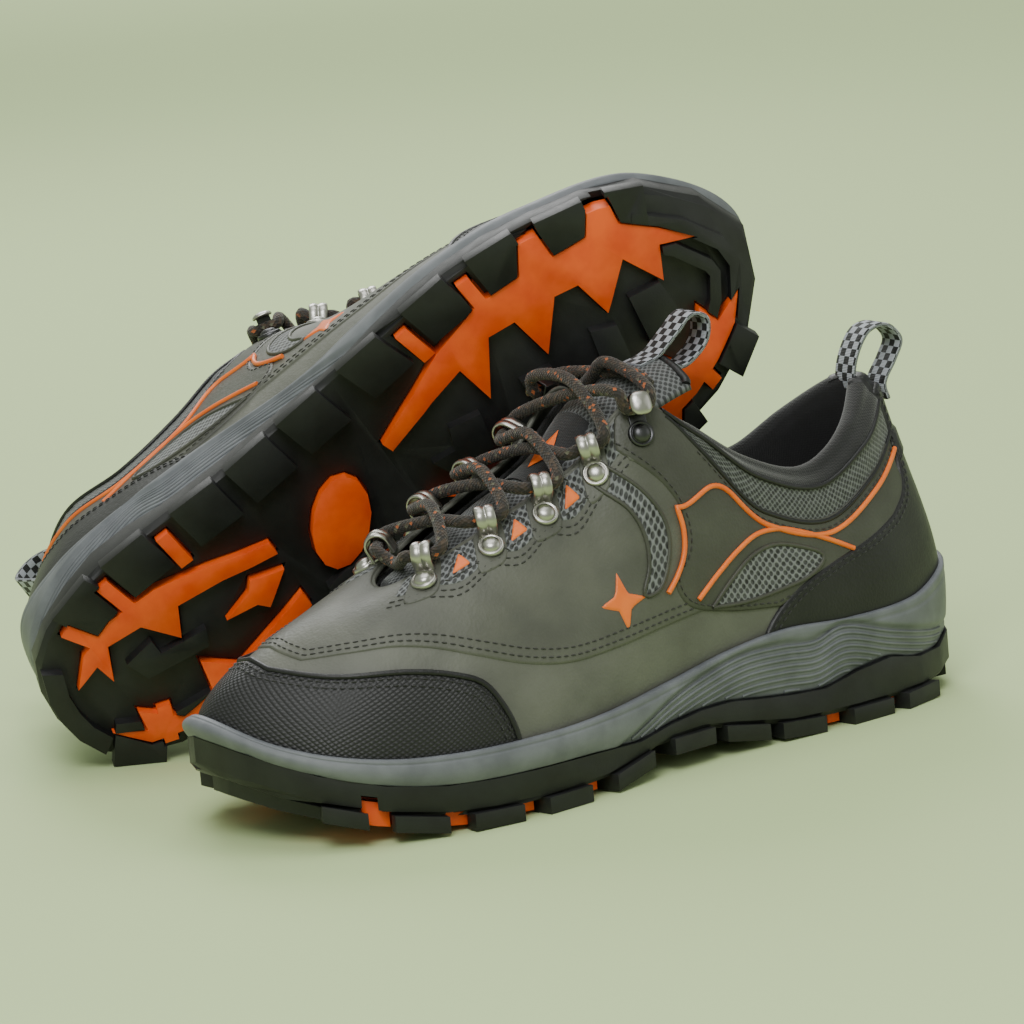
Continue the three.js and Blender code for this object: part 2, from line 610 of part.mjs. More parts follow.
// ---- Throat ----
// u of the throat's edge on one side at a share of the length.
function throatU(share, s) {
  let lo = 5.5;
  let hi = STATIONS;
  for (let i = 0; i < 24; i += 1) {
    const mid = (lo + hi) / 2;
    if (topCurve.getPoint(turn(mid)).x < share * SOLE_LENGTH) lo = mid;
    else hi = mid;
  }
  return s * lo;
}
const throatEdge = (x) => topCurve.getPoint(turn(throatU(x / SOLE_LENGTH, 1)));
const TONGUE_SINK = 1; // tongue's crown under the throat's edge
const TONGUE_SIDE_DROP = 8;
const TONGUE_FRONT = 0.745; // share of the length
const TONGUE_CORNER = 0.455; // where it leaves the throat
const TONGUE_TOP = 0.352;
const TONGUE_RISE = 11; // from there to its top
function tongueLine(x) {
  const corner = TONGUE_CORNER * SOLE_LENGTH;
  if (x >= corner) return throatEdge(x).z - TONGUE_SINK;
  const t = (corner - x) / (corner - TONGUE_TOP * SOLE_LENGTH);
  return throatEdge(corner).z - TONGUE_SINK + TONGUE_RISE * t * (1.35 - 0.35 * t);
}
function tongueHalf(x) {
  const corner = TONGUE_CORNER * SOLE_LENGTH;
  const w = throatEdge(Math.max(x, corner)).y - 1.1;
  return x < corner ? Math.min(w, throatEdge(corner).y - 3.2) : Math.min(w, 19);
}
function tonguePoint(x, share, depth) {
  const w = tongueHalf(x);
  const slope = (tongueLine(x + 1) - tongueLine(x - 1)) / 2;
  const n = vec(-slope, 0, 1).normalize();
  const p = vec(x, share * w, tongueLine(x) - TONGUE_SIDE_DROP * share * share);
  return p.addScaledVector(n, -depth);
}
function tongueSlab(x0, x1, half, top, bottom, steps) {
  const across = [-1, -0.7, -0.35, 0, 0.35, 0.7, 1].map((q) => q * half);
  const rings = Array.from({ length: steps + 1 }, (_, i) => {
    const x = THREE.MathUtils.lerp(x0, x1, i / steps);
    return [...across.map((q) => tonguePoint(x, q, -top)),
      ...across.slice().reverse().map((q) => tonguePoint(x, q, -bottom))];
  });
  const n = rings[0].length;
  const points = rings.flat();
  const faces = [];
  for (let r = 0; r < steps; r += 1) {
    for (let i = 0; i < n; i += 1) {
      const j = (i + 1) % n;
      faces.push([r * n + i, r * n + j, (r + 1) * n + j], [r * n + i, (r + 1) * n + j, (r + 1) * n + i]);
    }
  }
  for (let i = 0; i < n / 2 - 1; i += 1) {
    const a = [i, n - 1 - i, n - 2 - i, i + 1];
    faces.push([a[0], a[1], a[2]], [a[0], a[2], a[3]]);
    const b = a.map((q) => steps * n + q);
    faces.push([b[0], b[2], b[1]], [b[0], b[3], b[2]]);
  }
  return closedMesh(points, faces);
}
const tongue = () => tongueSlab(TONGUE_TOP * SOLE_LENGTH, TONGUE_FRONT * SOLE_LENGTH, 1, 0,
  -TONGUE_THICKNESS, 14);
const LABEL_SPAN = [0.475, 0.56];
const LABEL_THICKNESS = 0.8;
const label = () => tongueSlab(LABEL_SPAN[0] * SOLE_LENGTH, LABEL_SPAN[1] * SOLE_LENGTH, 0.6,
  GAP + LABEL_THICKNESS, GAP, 3);

// A webbing strap: a line of [x, z] points given a thickness and laid across the shoe.
function strap(line) {
  const curve = new THREE.CatmullRomCurve3(line.map(([x, z]) => vec(x, 0, z)), false, 'centripetal');
  const n = 16;
  const points = [];
  for (let i = 0; i <= n; i += 1) {
    const p = curve.getPoint(i / n);
    const t = curve.getTangent(i / n);
    [[1, 1], [1, -1], [-1, -1], [-1, 1]].forEach(([a, b]) => {
      points.push(vec(p.x + (a * t.z * WEBBING_THICKNESS) / 2, (b * WEBBING_WIDTH) / 2,
        p.z - (a * t.x * WEBBING_THICKNESS) / 2));
    });
  }
  const faces = [[0, 1, 2], [0, 2, 3], [4 * n, 4 * n + 2, 4 * n + 1], [4 * n, 4 * n + 3, 4 * n + 2]];
  for (let i = 0; i < n; i += 1) {
    for (let k = 0; k < 4; k += 1) {
      const a = 4 * i + k;
      const b = 4 * i + ((k + 1) % 4);
      faces.push([a, a + 4, b + 4], [a, b + 4, b]);
    }
  }
  return closedMesh(points, faces);
}
function heelLoop() {
  const half = WEBBING_THICKNESS / 2;
  const out = OVERLAY_THICKNESS + 3 * GAP + half;
  const low = skin(0, vBelowTop(0, 9), out);
  const outer = skin(0, vBelowTop(0, 3), out);
  const inner = skin(0, vBelowTop(0, 1), -COLLAR_THICKNESS - 5 * GAP - half);
  const top = topCurve.getPoint(0);
  const h = HEEL_LOOP_HEIGHT;
  return strap([[low.x, low.z], [outer.x, outer.z], [top.x - 9, top.z + 0.3 * h],
    [top.x - 12, top.z + 0.6 * h], [top.x - 6, top.z + 0.9 * h], [top.x + 2, top.z + 0.86 * h],
    [top.x + 8, top.z + 0.5 * h], [inner.x + 0.6, inner.z + 5], [inner.x, inner.z + 0.5]]);
}
function tongueLoop() {
  const half = WEBBING_THICKNESS / 2;
  const x = TONGUE_TOP * SOLE_LENGTH;
  const front = tonguePoint(x + 11, 0, -GAP - half);
  const lip = tonguePoint(x + 3, 0, -GAP - half);
  const inner = tonguePoint(x - half - 2 * GAP, 0, TONGUE_THICKNESS * 0.7);
  const h = TONGUE_LOOP_HEIGHT;
  return strap([[front.x, front.z], [lip.x, lip.z], [x - 5, lip.z + 0.32 * h],
    [x - 13, lip.z + 0.62 * h], [x - 19, lip.z + 0.5 * h], [x - 18, lip.z + 0.1 * h],
    [inner.x - 5, inner.z - 2], [inner.x, inner.z]]);
}

// ---- Metal loops and hooks ----
const LOOP_SHARES = [0.713, 0.642, 0.573, 0.505];
const HOOK_SHARE = 0.448;
const LOOP_DROP = 5.6; // the fitting's middle below the throat's edge
const SEAT = 0.55; // under the flat base, over the curved upper
const TUNNEL_RADIUS = LACE_DIAMETER / 2 + TUNNEL_CLEARANCE;
const TUNNEL_AT = 4.2; // towards the throat
const TUNNEL_HEIGHT = METAL_WALL + TUNNEL_RADIUS;
const RIVET_AT = -4.4;
function fitting(share, s) {
  const u = throatU(share, s);
  const v = vBelowTop(u, LOOP_DROP);
  const n = faceNormal(u, v);
  const up = face(u, v + 0.02).sub(face(u, v - 0.02)).normalize();
  const along = vec(0, 0, 0).crossVectors(up, n).normalize();
  return new THREE.Matrix4().makeBasis(along, up, n).setPosition(skin(u, v, SEAT));
}
function disc(radius, height, y, z, sides) {
  return new THREE.CylinderGeometry(radius, radius, height, sides).rotateX(Math.PI / 2).translate(0, y, z);
}
function block(x0, x1, y0, y1, z0, z1) {
  return new THREE.BoxGeometry(x1 - x0, y1 - y0, z1 - z0)
    .translate((x0 + x1) / 2, (y0 + y1) / 2, (z0 + z1) / 2);
}
function rivetHead(y) {
  const dome = new THREE.SphereGeometry(RIVET_RADIUS, 8, 4).scale(1, 1, 0.55).translate(0, y, METAL_WALL + 0.4);
  return [disc(RING_RADIUS, METAL_WALL + 0.5, y, (METAL_WALL + 0.5) / 2, 8), dome];
}
function laceLoop() {
  const r = TUNNEL_RADIUS + METAL_WALL;
  const arch = new THREE.Shape();
  arch.moveTo(-r, 0);
  arch.lineTo(r, 0);
  arch.lineTo(r, TUNNEL_HEIGHT);
  arch.absarc(0, TUNNEL_HEIGHT, r, 0, Math.PI, false);
  const hole = new THREE.Path();
  hole.absarc(0, TUNNEL_HEIGHT, TUNNEL_RADIUS, 0, 2 * Math.PI, true);
  arch.holes.push(hole);
  const tube = new THREE.ExtrudeGeometry(arch, { depth: LOOP_LENGTH, bevelEnabled: false, curveSegments: 4 })
    .translate(0, 0, -LOOP_LENGTH / 2)
    .applyMatrix4(new THREE.Matrix4().makeBasis(vec(0, 1, 0), vec(0, 0, 1), vec(1, 0, 0)))
    .translate(0, TUNNEL_AT, 0);
  return geometryOf(joined([tube, block(-3, 3, RIVET_AT, TUNNEL_AT - 2, 0, METAL_WALL), ...rivetHead(RIVET_AT)]));
}
const NECK_AT = 5.2;
const CAP_UNDER = METAL_WALL + LACE_DIAMETER + 2 * TUNNEL_CLEARANCE;
function laceHook() {
  const y = RIVET_AT - 2.4;
  return geometryOf(joined([
    block(-3, 3, y, NECK_AT + METAL_WALL, 0, METAL_WALL),
    block(-2.6, 2.6, NECK_AT, NECK_AT + METAL_WALL, METAL_WALL / 2, CAP_UNDER + METAL_WALL / 2),
    block(-3.4, 3.4, NECK_AT - 6.5, NECK_AT + METAL_WALL, CAP_UNDER, CAP_UNDER + METAL_WALL),
    ...rivetHead(y),
  ]));
}

// ---- Lace ----
const LACE_CROSS = LACE_DIAMETER + 0.7; // between strands where they cross
function laceLine() {
  const at = (share, s, x, y, z) => vec(x * s, y, z).applyMatrix4(fitting(share, s));
  // Through a loop: towards the heel for +1, towards the toe for -1.
  const half = LOOP_LENGTH / 2;
  const through = (i, s, way) => [-half - 3, -half - 0.2, half + 0.2, half + 3].map((x) => {
    const steep = i === LOOP_SHARES.length - 1 ? 0.7 : 0;
    const rise = Math.abs(x) < half + 1 ? 0 : 0.6 + (0.4 + steep) * Math.sign(way * x);
    return at(LOOP_SHARES[i], s, way * x, TUNNEL_AT + rise, TUNNEL_HEIGHT + rise);
  });
  const round = (s, way) => [[-5.8, 7.4, 2], [-4.4, 2.4, 0.3], [0, 1.9, 0.2], [4.4, 2.4, 0.3], [5.6, 6.4, 0.9]]
    .map(([x, y, z]) => at(HOOK_SHARE, s, way * x, y, z + METAL_WALL + LACE_DIAMETER / 2 + 0.2));
  const cross = (x, over) => vec(x * SOLE_LENGTH, 0, tongueLine(x * SOLE_LENGTH)
    + GAP + LABEL_THICKNESS + LACE_DIAMETER / 2 + 4.6 + (over ? LACE_CROSS : 0));
  const between = (i) => (LOOP_SHARES[i] + (LOOP_SHARES[i + 1] ?? HOOK_SHARE)) / 2;
  const run = (s, startOver) => {
    const points = [];
    for (let i = 0; i < LOOP_SHARES.length; i += 1) {
      const here = i % 2 ? -s : s;
      points.push(...through(i, here, 1));
      points.push(cross(between(i), (i % 2 === 0) === startOver));
    }
    const last = LOOP_SHARES.length % 2 ? -s : s;
    points.push(...round(last, 1));
    const x = (HOOK_SHARE - 0.035) * SOLE_LENGTH;
    const lift = LACE_DIAMETER / 2 + GAP + 0.4;
    points.push(tonguePoint(x + 1, 0.45 * last, -lift - (startOver ? 1 : 0.3) * LACE_CROSS));
    points.push(tonguePoint(x + (startOver ? 2 : 0), 0, -lift - (startOver ? LACE_CROSS : 0)));
    points.push(tonguePoint(x + (startOver ? 3 : -3), -0.5 * last, -lift - 0.4));
    points.push(tonguePoint(x + (startOver ? 4 : -4), -0.8 * last, -lift + 0.3));
    return points;
  };
  const bar = vec(LOOP_SHARES[0] * SOLE_LENGTH + half + 1.5, 0, 0);
  bar.z = tongueLine(bar.x) + LACE_DIAMETER / 2 + 1;
  return [...run(1, true).reverse(), bar, ...run(-1, false)];
}
function lace() {
  const line = laceLine();
  const curve = new THREE.CatmullRomCurve3(line, false, 'centripetal');
  curve.getUtoTmapping = (u) => u; // sections fall on the line's own points
  const round = new THREE.Shape();
  round.absarc(0, 0, LACE_DIAMETER / 2, 0, 2 * Math.PI, false);
  const steps = line.length - 1;
  return new THREE.ExtrudeGeometry(round, { steps, curveSegments: 4, bevelEnabled: false, extrudePath: curve });
}

// ---- One shoe ----
const COLOURS = {
  rubber: 0x1d1e22, orange: 0xf06a2a, foam: 0x6f747d, hide: 0x6c6c64, dark: 0x1e1e22,
  mesh: 0x8c8e90, lining: 0x141416, metal: 0xd0d0d0, gunmetal: 0x5c5e58, lace: 0x4a3a2c,
  card: 0xb8a078, webbing: 0xc9ccd6,
};
const { outsole, inserts } = sole();
const PIECES = [
  ['outsole', outsole, COLOURS.rubber],
  ['tread_inserts', inserts, COLOURS.orange],
  ['midsole', midsoleWithPocket(), COLOURS.foam],
  ['shank', shank(), COLOURS.dark],
  ['insole_board', insoleBoard(), COLOURS.card],
  ['insole', insole(), COLOURS.dark],
  ['upper', upper(), COLOURS.hide],
  ['lining', lining(), COLOURS.lining],
  ['toe_puff', stiffener(STATIONS - 2, STATIONS + 2, 0.42), COLOURS.card],
  ['heel_stiffener', stiffener(-2.6, 2.6, 0.5), COLOURS.card],
  ['collar', collar(), COLOURS.mesh],
  ['toe_cap', toeCap(), COLOURS.dark],
  ['heel_counter', heelCounter(), COLOURS.dark],
  ['lateral_saddle', saddle(1), COLOURS.hide],
  ['medial_saddle', saddle(-1), COLOURS.hide],
  ['tongue', tongue(), COLOURS.mesh],
  ['tongue_label', label(), COLOURS.dark],
  ['tongue_loop', tongueLoop(), COLOURS.webbing],
  ['heel_loop', heelLoop(), COLOURS.webbing],
  ['lace', lace(), COLOURS.lace],
];
[['lateral', 1], ['medial', -1]].forEach(([name, s]) => {
  LOOP_SHARES.forEach((share, i) => {
    PIECES.push([`${name}_loop_${i + 1}`, laceLoop().applyMatrix4(fitting(share, s)), COLOURS.metal]);
  });
  PIECES.push([`${name}_hook`, laceHook().applyMatrix4(fitting(HOOK_SHARE, s)), COLOURS.gunmetal]);
});

function shoe(prefix, mirrored) {
  const group = new THREE.Group();
  PIECES.forEach(([name, geometry, colour]) => {
    const mesh = new THREE.Mesh(geometry, new THREE.MeshStandardMaterial({ color: colour }));
    mesh.name = `${prefix}_${name}`;
    if (mirrored) mesh.scale.y = -1;
    group.add(mesh);
  });
  return group;
}

// ---- The pair ----
// The toe points to -X and the left shoe's lateral side to -Y.
const left = shoe('left', false);
left.rotation.z = Math.PI;
const right = shoe('right', true);
right.rotation.set(
  THREE.MathUtils.degToRad(RIGHT_ROLL),
  THREE.MathUtils.degToRad(-RIGHT_TOE_UP),
  THREE.MathUtils.degToRad(RIGHT_HEADING),
  'ZYX',
);
// The right shoe is moved back until it just clears the left one, with its lowest point on the ground.
const NEAR = ['outsole', 'midsole', 'upper', 'collar', 'toe_cap', 'heel_loop', 'tongue_loop', 'tongue',
  'medial_loop_1', 'medial_loop_2', 'medial_loop_3', 'medial_loop_4', 'medial_hook', 'lace'];
function bodyOf(group, names) {
  group.updateMatrixWorld(true);
  const bodies = group.children.filter((m) => names.some((n) => m.name.endsWith(`_${n}`))).map((m) => {
    const g = m.geometry.clone().applyMatrix4(m.matrixWorld);
    if (m.matrixWorld.determinant() < 0) {
      const index = g.index ? Array.from(g.index.array) : Array.from({ length: g.attributes.position.count }, (_, i) => i);
      for (let i = 0; i < index.length; i += 3) [index[i + 1], index[i + 2]] = [index[i + 2], index[i + 1]];
      g.setIndex(index);
    }
    return solid(g);
  });
  return wasm.Manifold.compose(bodies);
}
right.position.set(RIGHT_ALONG, 0, 0);
right.updateMatrixWorld(true);
const ground = new THREE.Box3().setFromObject(left, true).min.z;
right.position.z = ground - new THREE.Box3().setFromObject(right, true).min.z;
const leftBody = bodyOf(left, NEAR);
const rightBody = bodyOf(right, ['outsole', 'midsole', 'tread_inserts', 'upper', 'toe_cap', 'heel_loop']);
function backset() {
  let near = 0;
  let far = 400;
  const clear = (y) => {
    const moved = rightBody.translate([0, y, 0]);
    return moved.intersect(leftBody).volume() < 1e-6 && moved.minGap(leftBody, PAIR_GAP + 1) >= PAIR_GAP;
  };
  for (let i = 0; i < 12; i += 1) {
    const mid = (near + far) / 2;
    if (clear(mid)) far = mid;
    else near = mid;
  }
  return far;
}
right.position.y = backset();

const pair = new THREE.Group();
pair.add(left, right);
pair.updateMatrixWorld(true);
const box = new THREE.Box3().setFromObject(pair, true);
pair.position.set(-(box.min.x + box.max.x) / 2, -(box.min.y + box.max.y) / 2, -box.min.z);
export default pair;
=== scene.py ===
"""Looks of a pair of low-cut hiking boots: one stands, the other leans on it with its sole outwards."""
import math

import bmesh
import bpy
import numpy as np
from mathutils import Euler, Matrix, Vector
from mathutils.kdtree import KDTree
from mathutils.geometry import delaunay_2d_cdt


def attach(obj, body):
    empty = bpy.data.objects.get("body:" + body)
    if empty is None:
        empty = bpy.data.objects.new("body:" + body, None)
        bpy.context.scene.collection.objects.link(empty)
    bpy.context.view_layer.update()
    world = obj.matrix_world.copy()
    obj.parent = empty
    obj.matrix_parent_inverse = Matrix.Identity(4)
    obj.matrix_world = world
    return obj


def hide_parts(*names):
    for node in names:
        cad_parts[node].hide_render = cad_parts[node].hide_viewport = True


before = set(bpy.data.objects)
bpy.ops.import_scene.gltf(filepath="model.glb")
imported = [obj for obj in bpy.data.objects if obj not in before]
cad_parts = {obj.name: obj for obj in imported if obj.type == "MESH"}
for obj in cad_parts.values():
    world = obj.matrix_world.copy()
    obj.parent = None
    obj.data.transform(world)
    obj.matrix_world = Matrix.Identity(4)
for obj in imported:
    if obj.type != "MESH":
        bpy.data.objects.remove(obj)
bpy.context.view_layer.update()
MM = 0.001

# ---------------------------------------------------------------- camera
CAMERA_PLACE = (-0.956, -1.562, 0.442)
CAMERA_FORWARD = Vector((0.526, 0.827, -0.197))
CAMERA_RIGHT = Vector((0.831, -0.55, -0.089))
camera_data = bpy.data.cameras.new("camera")
camera_data.lens = 179
camera_data.sensor_width = 36
camera = bpy.data.objects.new("camera", camera_data)
bpy.context.scene.collection.objects.link(camera)
back = -CAMERA_FORWARD.normalized()
right = (CAMERA_RIGHT - CAMERA_RIGHT.dot(back) * back).normalized()
up = back.cross(right)
camera.matrix_world = Matrix(((right.x, up.x, back.x, CAMERA_PLACE[0]),
                              (right.y, up.y, back.y, CAMERA_PLACE[1]),
                              (right.z, up.z, back.z, CAMERA_PLACE[2]), (0, 0, 0, 1)))
bpy.context.scene.camera = camera

# ---------------------------------------------------------------- the two boots' places
# Every shape is drawn in one boot's own frame, in millimetres: x from heel to toe, +y the outer side, z up.
LEFT_TURN = Matrix.Rotation(math.pi, 3, "Z")
LEFT_PLACE = (152.25, -93.92, 0.30)
RIGHT_TURN = Euler((math.radians(-75.6), math.radians(-30), math.radians(-29)), "XYZ").to_matrix()
RIGHT_PLACE = (-139.75, 36.16, 17.70)
SHOES = {"left": (np.array(LEFT_TURN), np.array(LEFT_PLACE), 1),
         "right": (np.array(RIGHT_TURN), np.array(RIGHT_PLACE), -1)}


def to_row(points, shoe):
    """Points in the boot's frame, in millimetres, as points in the row frame, in metres."""
    turn, place, hand = SHOES[shoe]
    p = np.asarray(points, float) * (1, hand, 1)
    return (p @ turn.T + place) * MM


# ---------------------------------------------------------------- the last's surface
SOLE_LENGTH, SOLE_WIDTH, TOP_HEIGHT = 306, 106, 86
LUG_DEPTH, PLATE_THICKNESS, FOOTBED_INSET = 5, 3.6, 5
STATIONS = 11
ROUND = 22
# For each station from heel to toe: the sole's edge (x, outer y, inner y as shares of length and width).
EDGE = [(0, 0, 0), (0.023, 0.226, -0.208), (0.101, 0.363, -0.33), (0.203, 0.406, -0.354),
        (0.301, 0.41, -0.325),
        (0.386, 0.415, -0.297), (0.48, 0.443, -0.311), (0.582, 0.5, -0.377), (0.686, 0.533, -0.453),
        (0.797, 0.5, -0.467), (0.925, 0.34, -0.363), (1, -0.057, -0.057)]
# The upper's top line: x share, half-width share, height share.
TOP = [(0.052, 0, 1), (0.078, 0.115, 0.99), (0.137, 0.236, 0.86), (0.216, 0.278, 0.735), (0.301, 0.288, 0.83),
       (0.382, 0.278, 1.03), (0.448, 0.226, 1.17), (0.523, 0.189, 0.955), (0.601, 0.165, 0.83),
       (0.68, 0.137, 0.71), (0.739, 0.085, 0.61), (0.755, 0, 0.575)]
# How the wall swells between them, in mm: low handle (x, outwards, up), then high (x, outwards, down).
BULGE = [(-9, 0, 20, -6, 0, 32), (-7, 5, 20, -4, 6, 32), (-2, 4, 20, 0, 7, 26), (0, 3, 19, 0, 6, 18),
         (0, 3, 19, 0, 6, 22), (0, 4, 20, 0, 9, 30), (0, 5, 22, 1, 15, 30), (0, 5, 21, 2, 16, 20),
         (0, 4, 19, 4, 18, 13), (0, 4, 18, 8, 19, 9), (4, 4, 19, 20, 13, 6), (5, 0, 20, 32, -1, 5)]


def profile(rows):
    """A smooth height along the sole, through (share of the length, mm) rows."""
    s = np.array([r[0] for r in rows], float)
    p = np.array([r[1] for r in rows], float)
    lo = np.maximum(np.arange(len(s)) - 1, 0)
    hi = np.minimum(np.arange(len(s)) + 1, len(s) - 1)
    slope = (p[hi] - p[lo]) / (s[hi] - s[lo])

    def at(x):
        q = np.clip(np.asarray(x, float) / SOLE_LENGTH, s[0], s[-1])
        i = np.clip(np.searchsorted(s, q, side="left") - 1, 0, len(s) - 2)
        w = s[i + 1] - s[i]
        t = (q - s[i]) / w
        t2, t3 = t * t, t * t * t
        return ((2 * t3 - 3 * t2 + 1) * p[i] + (t3 - 2 * t2 + t) * slope[i] * w
                + (3 * t2 - 2 * t3) * p[i + 1] + (t3 - t2) * slope[i + 1] * w)
    return at


rocker = profile([(0, 4), (0.05, 1), (0.1, 0), (0.29, 0), (0.34, 2), (0.43, 6.5), (0.5, 5.5),
                  (0.56, 1.2), (0.61, 0), (0.78, 0.4), (0.84, 3), (0.9, 7.5), (0.95, 13), (1, 22)])
footbed_core = profile([(0, 18), (0.2, 18), (0.33, 16), (0.5, 10.5), (0.65, 8.5), (0.8, 8.5), (1, 5.5)])
rim_height = profile([(0, 23), (0.05, 17), (0.11, 17), (0.15, 20), (0.2, 18.5), (0.25, 15), (0.33, 16.5),
                      (0.4, 19), (0.47, 17.5), (0.52, 14.5), (0.6, 15.5), (0.8, 17), (0.88, 21.5),
                      (0.95, 29), (1, 38)])
lip_height = profile([(0, 50), (0.05, 43), (0.1, 38.5), (0.2, 37.5), (0.3, 39), (0.38, 36.5), (0.47, 31.5),
                      (0.56, 28), (0.64, 26.5), (0.8, 26.5), (0.88, 29.5), (0.95, 36), (1, 47)])


def footbed(x):
    """The footbed's height."""
    return rocker(x) + LUG_DEPTH + PLATE_THICKNESS + footbed_core(x)


def round_line(point):
    """A closed smooth curve with one point a station, all the way round the boot."""
    p = np.array([point(k if k <= STATIONS else ROUND - k,
                        1 if k <= STATIONS else -1) for k in range(ROUND)], float)
    m = 0.5 * (np.roll(p, -1, 0) - np.roll(p, 1, 0))

    def at(u, slope=False):
        u = np.mod(np.asarray(u, float), ROUND)
        i = np.floor(u).astype(int) % ROUND
        j = (i + 1) % ROUND
        t = (u - np.floor(u))[..., None]
        t2, t3 = t * t, t * t * t
        if slope:
            return (6 * t2 - 6 * t) * (p[i] - p[j]) + (3 * t2 - 4 * t + 1) * m[i] + (3 * t2 - 2 * t) * m[j]
        return ((2 * t3 - 3 * t2 + 1) * p[i] + (t3 - 2 * t2 + t) * m[i] + (3 * t2 - 2 * t3) * p[j]
                + (t3 - t2) * m[j])
    return at


edge_line = round_line(lambda k, s: (EDGE[k][0] * SOLE_LENGTH,
                                     (EDGE[k][1] if s > 0 else EDGE[k][2]) * SOLE_WIDTH, 0))
top_line = round_line(lambda k, s: (TOP[k][0] * SOLE_LENGTH, s * TOP[k][1] * SOLE_WIDTH,
                                    float(footbed(0.1 * SOLE_LENGTH)) + TOP[k][2] * TOP_HEIGHT))
low_handle = round_line(lambda k, s: (BULGE[k][0], s * BULGE[k][1], BULGE[k][2]))
high_handle = round_line(lambda k, s: (BULGE[k][3], s * BULGE[k][4], -BULGE[k][5]))


def edge(u, inset, height=0.0):
    """The sole's edge at stations u, moved inwards, at a height or a height along the sole."""
    p = edge_line(u)
    t = edge_line(u, True)
    t = t / np.linalg.norm(t, axis=-1, keepdims=True)
    x = p[..., 0] + t[..., 1] * inset
    y = p[..., 1] - t[..., 0] * inset
    z = height(x) if callable(height) else height + 0 * x
    return np.stack([x, y, z], -1)


def face(u, v):
    """The upper's outer face: u in stations round the boot, v from the footbed to the top line."""
    u, v = np.broadcast_arrays(np.asarray(u, float), np.asarray(v, float))
    foot = edge(u, FOOTBED_INSET, footbed)
    top = top_line(u)
    w = (1 - v)[..., None]
    v = v[..., None]
    low, high = foot + low_handle(u), top + high_handle(u)
    return w**3 * foot + 3 * w * w * v * low + 3 * w * v * v * high + v**3 * top


def normal(u, v):
    h = 0.02
    du = face(u + h, v) - face(u - h, v)
    dv = face(u, np.minimum(v + h, 1)) - face(u, np.maximum(v - h, 0))
    n = np.cross(dv, du)
    return n / np.linalg.norm(n, axis=-1, keepdims=True)


def skin(u, v, out=0.0):
    u, v = np.broadcast_arrays(np.asarray(u, float), np.asarray(v, float))
    return face(u, v) + normal(u, v) * np.asarray(out, float)[..., None]


def v_at_height(u, height):
    """v where the surface reaches a height."""
    u = np.asarray(u, float)
    lo, hi = np.zeros(u.shape), np.ones(u.shape)
    for _ in range(24):
        mid = (lo + hi) / 2
        low = face(u, mid)[..., 2] < height
        lo, hi = np.where(low, mid, lo), np.where(low, hi, mid)
    return lo


def v_below_top(u, distance):
    """v a distance down the surface from the top line."""
    u = np.atleast_1d(np.asarray(u, float))
    distance = np.broadcast_to(distance, u.shape)
    vs = np.linspace(1, 0, 61)
    p = face(u[:, None], vs[None, :])
    run = np.concatenate([np.zeros((len(u), 1)), np.cumsum(np.linalg.norm(np.diff(p, axis=1), axis=2), 1)], 1)
    return np.array([np.interp(d, r, vs) for d, r in zip(distance, run)])


def v_lip(u):
    """v where the midsole's lip ends."""
    return v_at_height(u, lip_height(edge(u, FOOTBED_INSET)[..., 0]))


def from_heel(u):
    """Stations from the heel, whichever side."""
    k = np.mod(u, ROUND)
    return np.minimum(k, ROUND - k)


def smoothstep(a, b, x):
    t = np.clip((np.asarray(x, float) - a) / (b - a), 0, 1)
    return t * t * (3 - 2 * t)


# ---------------------------------------------------------------- places on the side from x and z
_table = {}
for _s in (1, -1):
    _u, _v = np.meshgrid(np.linspace(0.2, 10.9, 215), np.linspace(0, 1, 101), indexing="ij")
    _table[_s] = (_s * _u.ravel(), _v.ravel(), face(_s * _u.ravel(), _v.ravel()))


def on_side(rows, s):
    """(u, v) of places given as (x, z) in mm on the outer (s = 1) or inner (s = -1) side."""
    us, vs, p = _table[s]
    q = np.asarray(rows, float)
    near = np.argmin((p[None, :, 0] - q[:, None, 0])**2 + (p[None, :, 2] - q[:, None, 1])**2, axis=1)
    u, v = us[near].copy(), vs[near].copy()
    h = 0.01
    for _ in range(4):
        a, b, c = face(u, v), face(u + h, v), face(u, v + h)
        j = np.stack([(b - a)[:, [0, 2]], (c - a)[:, [0, 2]]], -1) / h
        r = q - a[:, [0, 2]]
        det = j[:, 0, 0] * j[:, 1, 1] - j[:, 0, 1] * j[:, 1, 0]
        det = np.where(np.abs(det) < 1e-6, 1e-6, det)
        u += np.clip((r[:, 0] * j[:, 1, 1] - r[:, 1] * j[:, 0, 1]) / det, -0.2, 0.2)
        v = np.clip(v + np.clip((r[:, 1] * j[:, 0, 0] - r[:, 0] * j[:, 1, 0]) / det, -0.1, 0.1), 0, 1)
    return np.stack([u, v], -1)


def curve(points, step, closed=False):
    """A smooth line through the points, with a point every step."""
    p = np.asarray(points, float)
    n = len(p)
    out = []
    for i in range(n if closed else n - 1):
        p0 = p[(i - 1) % n] if closed or i > 0 else 2 * p[0] - p[1]
        p3 = p[(i + 2) % n] if closed or i + 2 < n else 2 * p[-1] - p[-2]
        p1, p2 = p[i], p[(i + 1) % n]
        a, b, c = [max(np.linalg.norm(y - x), 1e-6)**0.5 for x, y in ((p0, p1), (p1, p2), (p2, p3))]
        m1 = (p2 - p1) + b * ((p1 - p0) / a - (p2 - p0) / (a + b))
        m2 = (p2 - p1) + b * ((p3 - p2) / c - (p3 - p1) / (b + c))
        for t in np.linspace(0, 1, 9)[:-1]:
            out.append((2 * t**3 - 3 * t**2 + 1) * p1 + (t**3 - 2 * t**2 + t) * m1
                       + (3 * t**2 - 2 * t**3) * p2 + (t**3 - t**2) * m2)
    out.append(p[0] if closed else p[-1])
    return even(np.array(out), step)


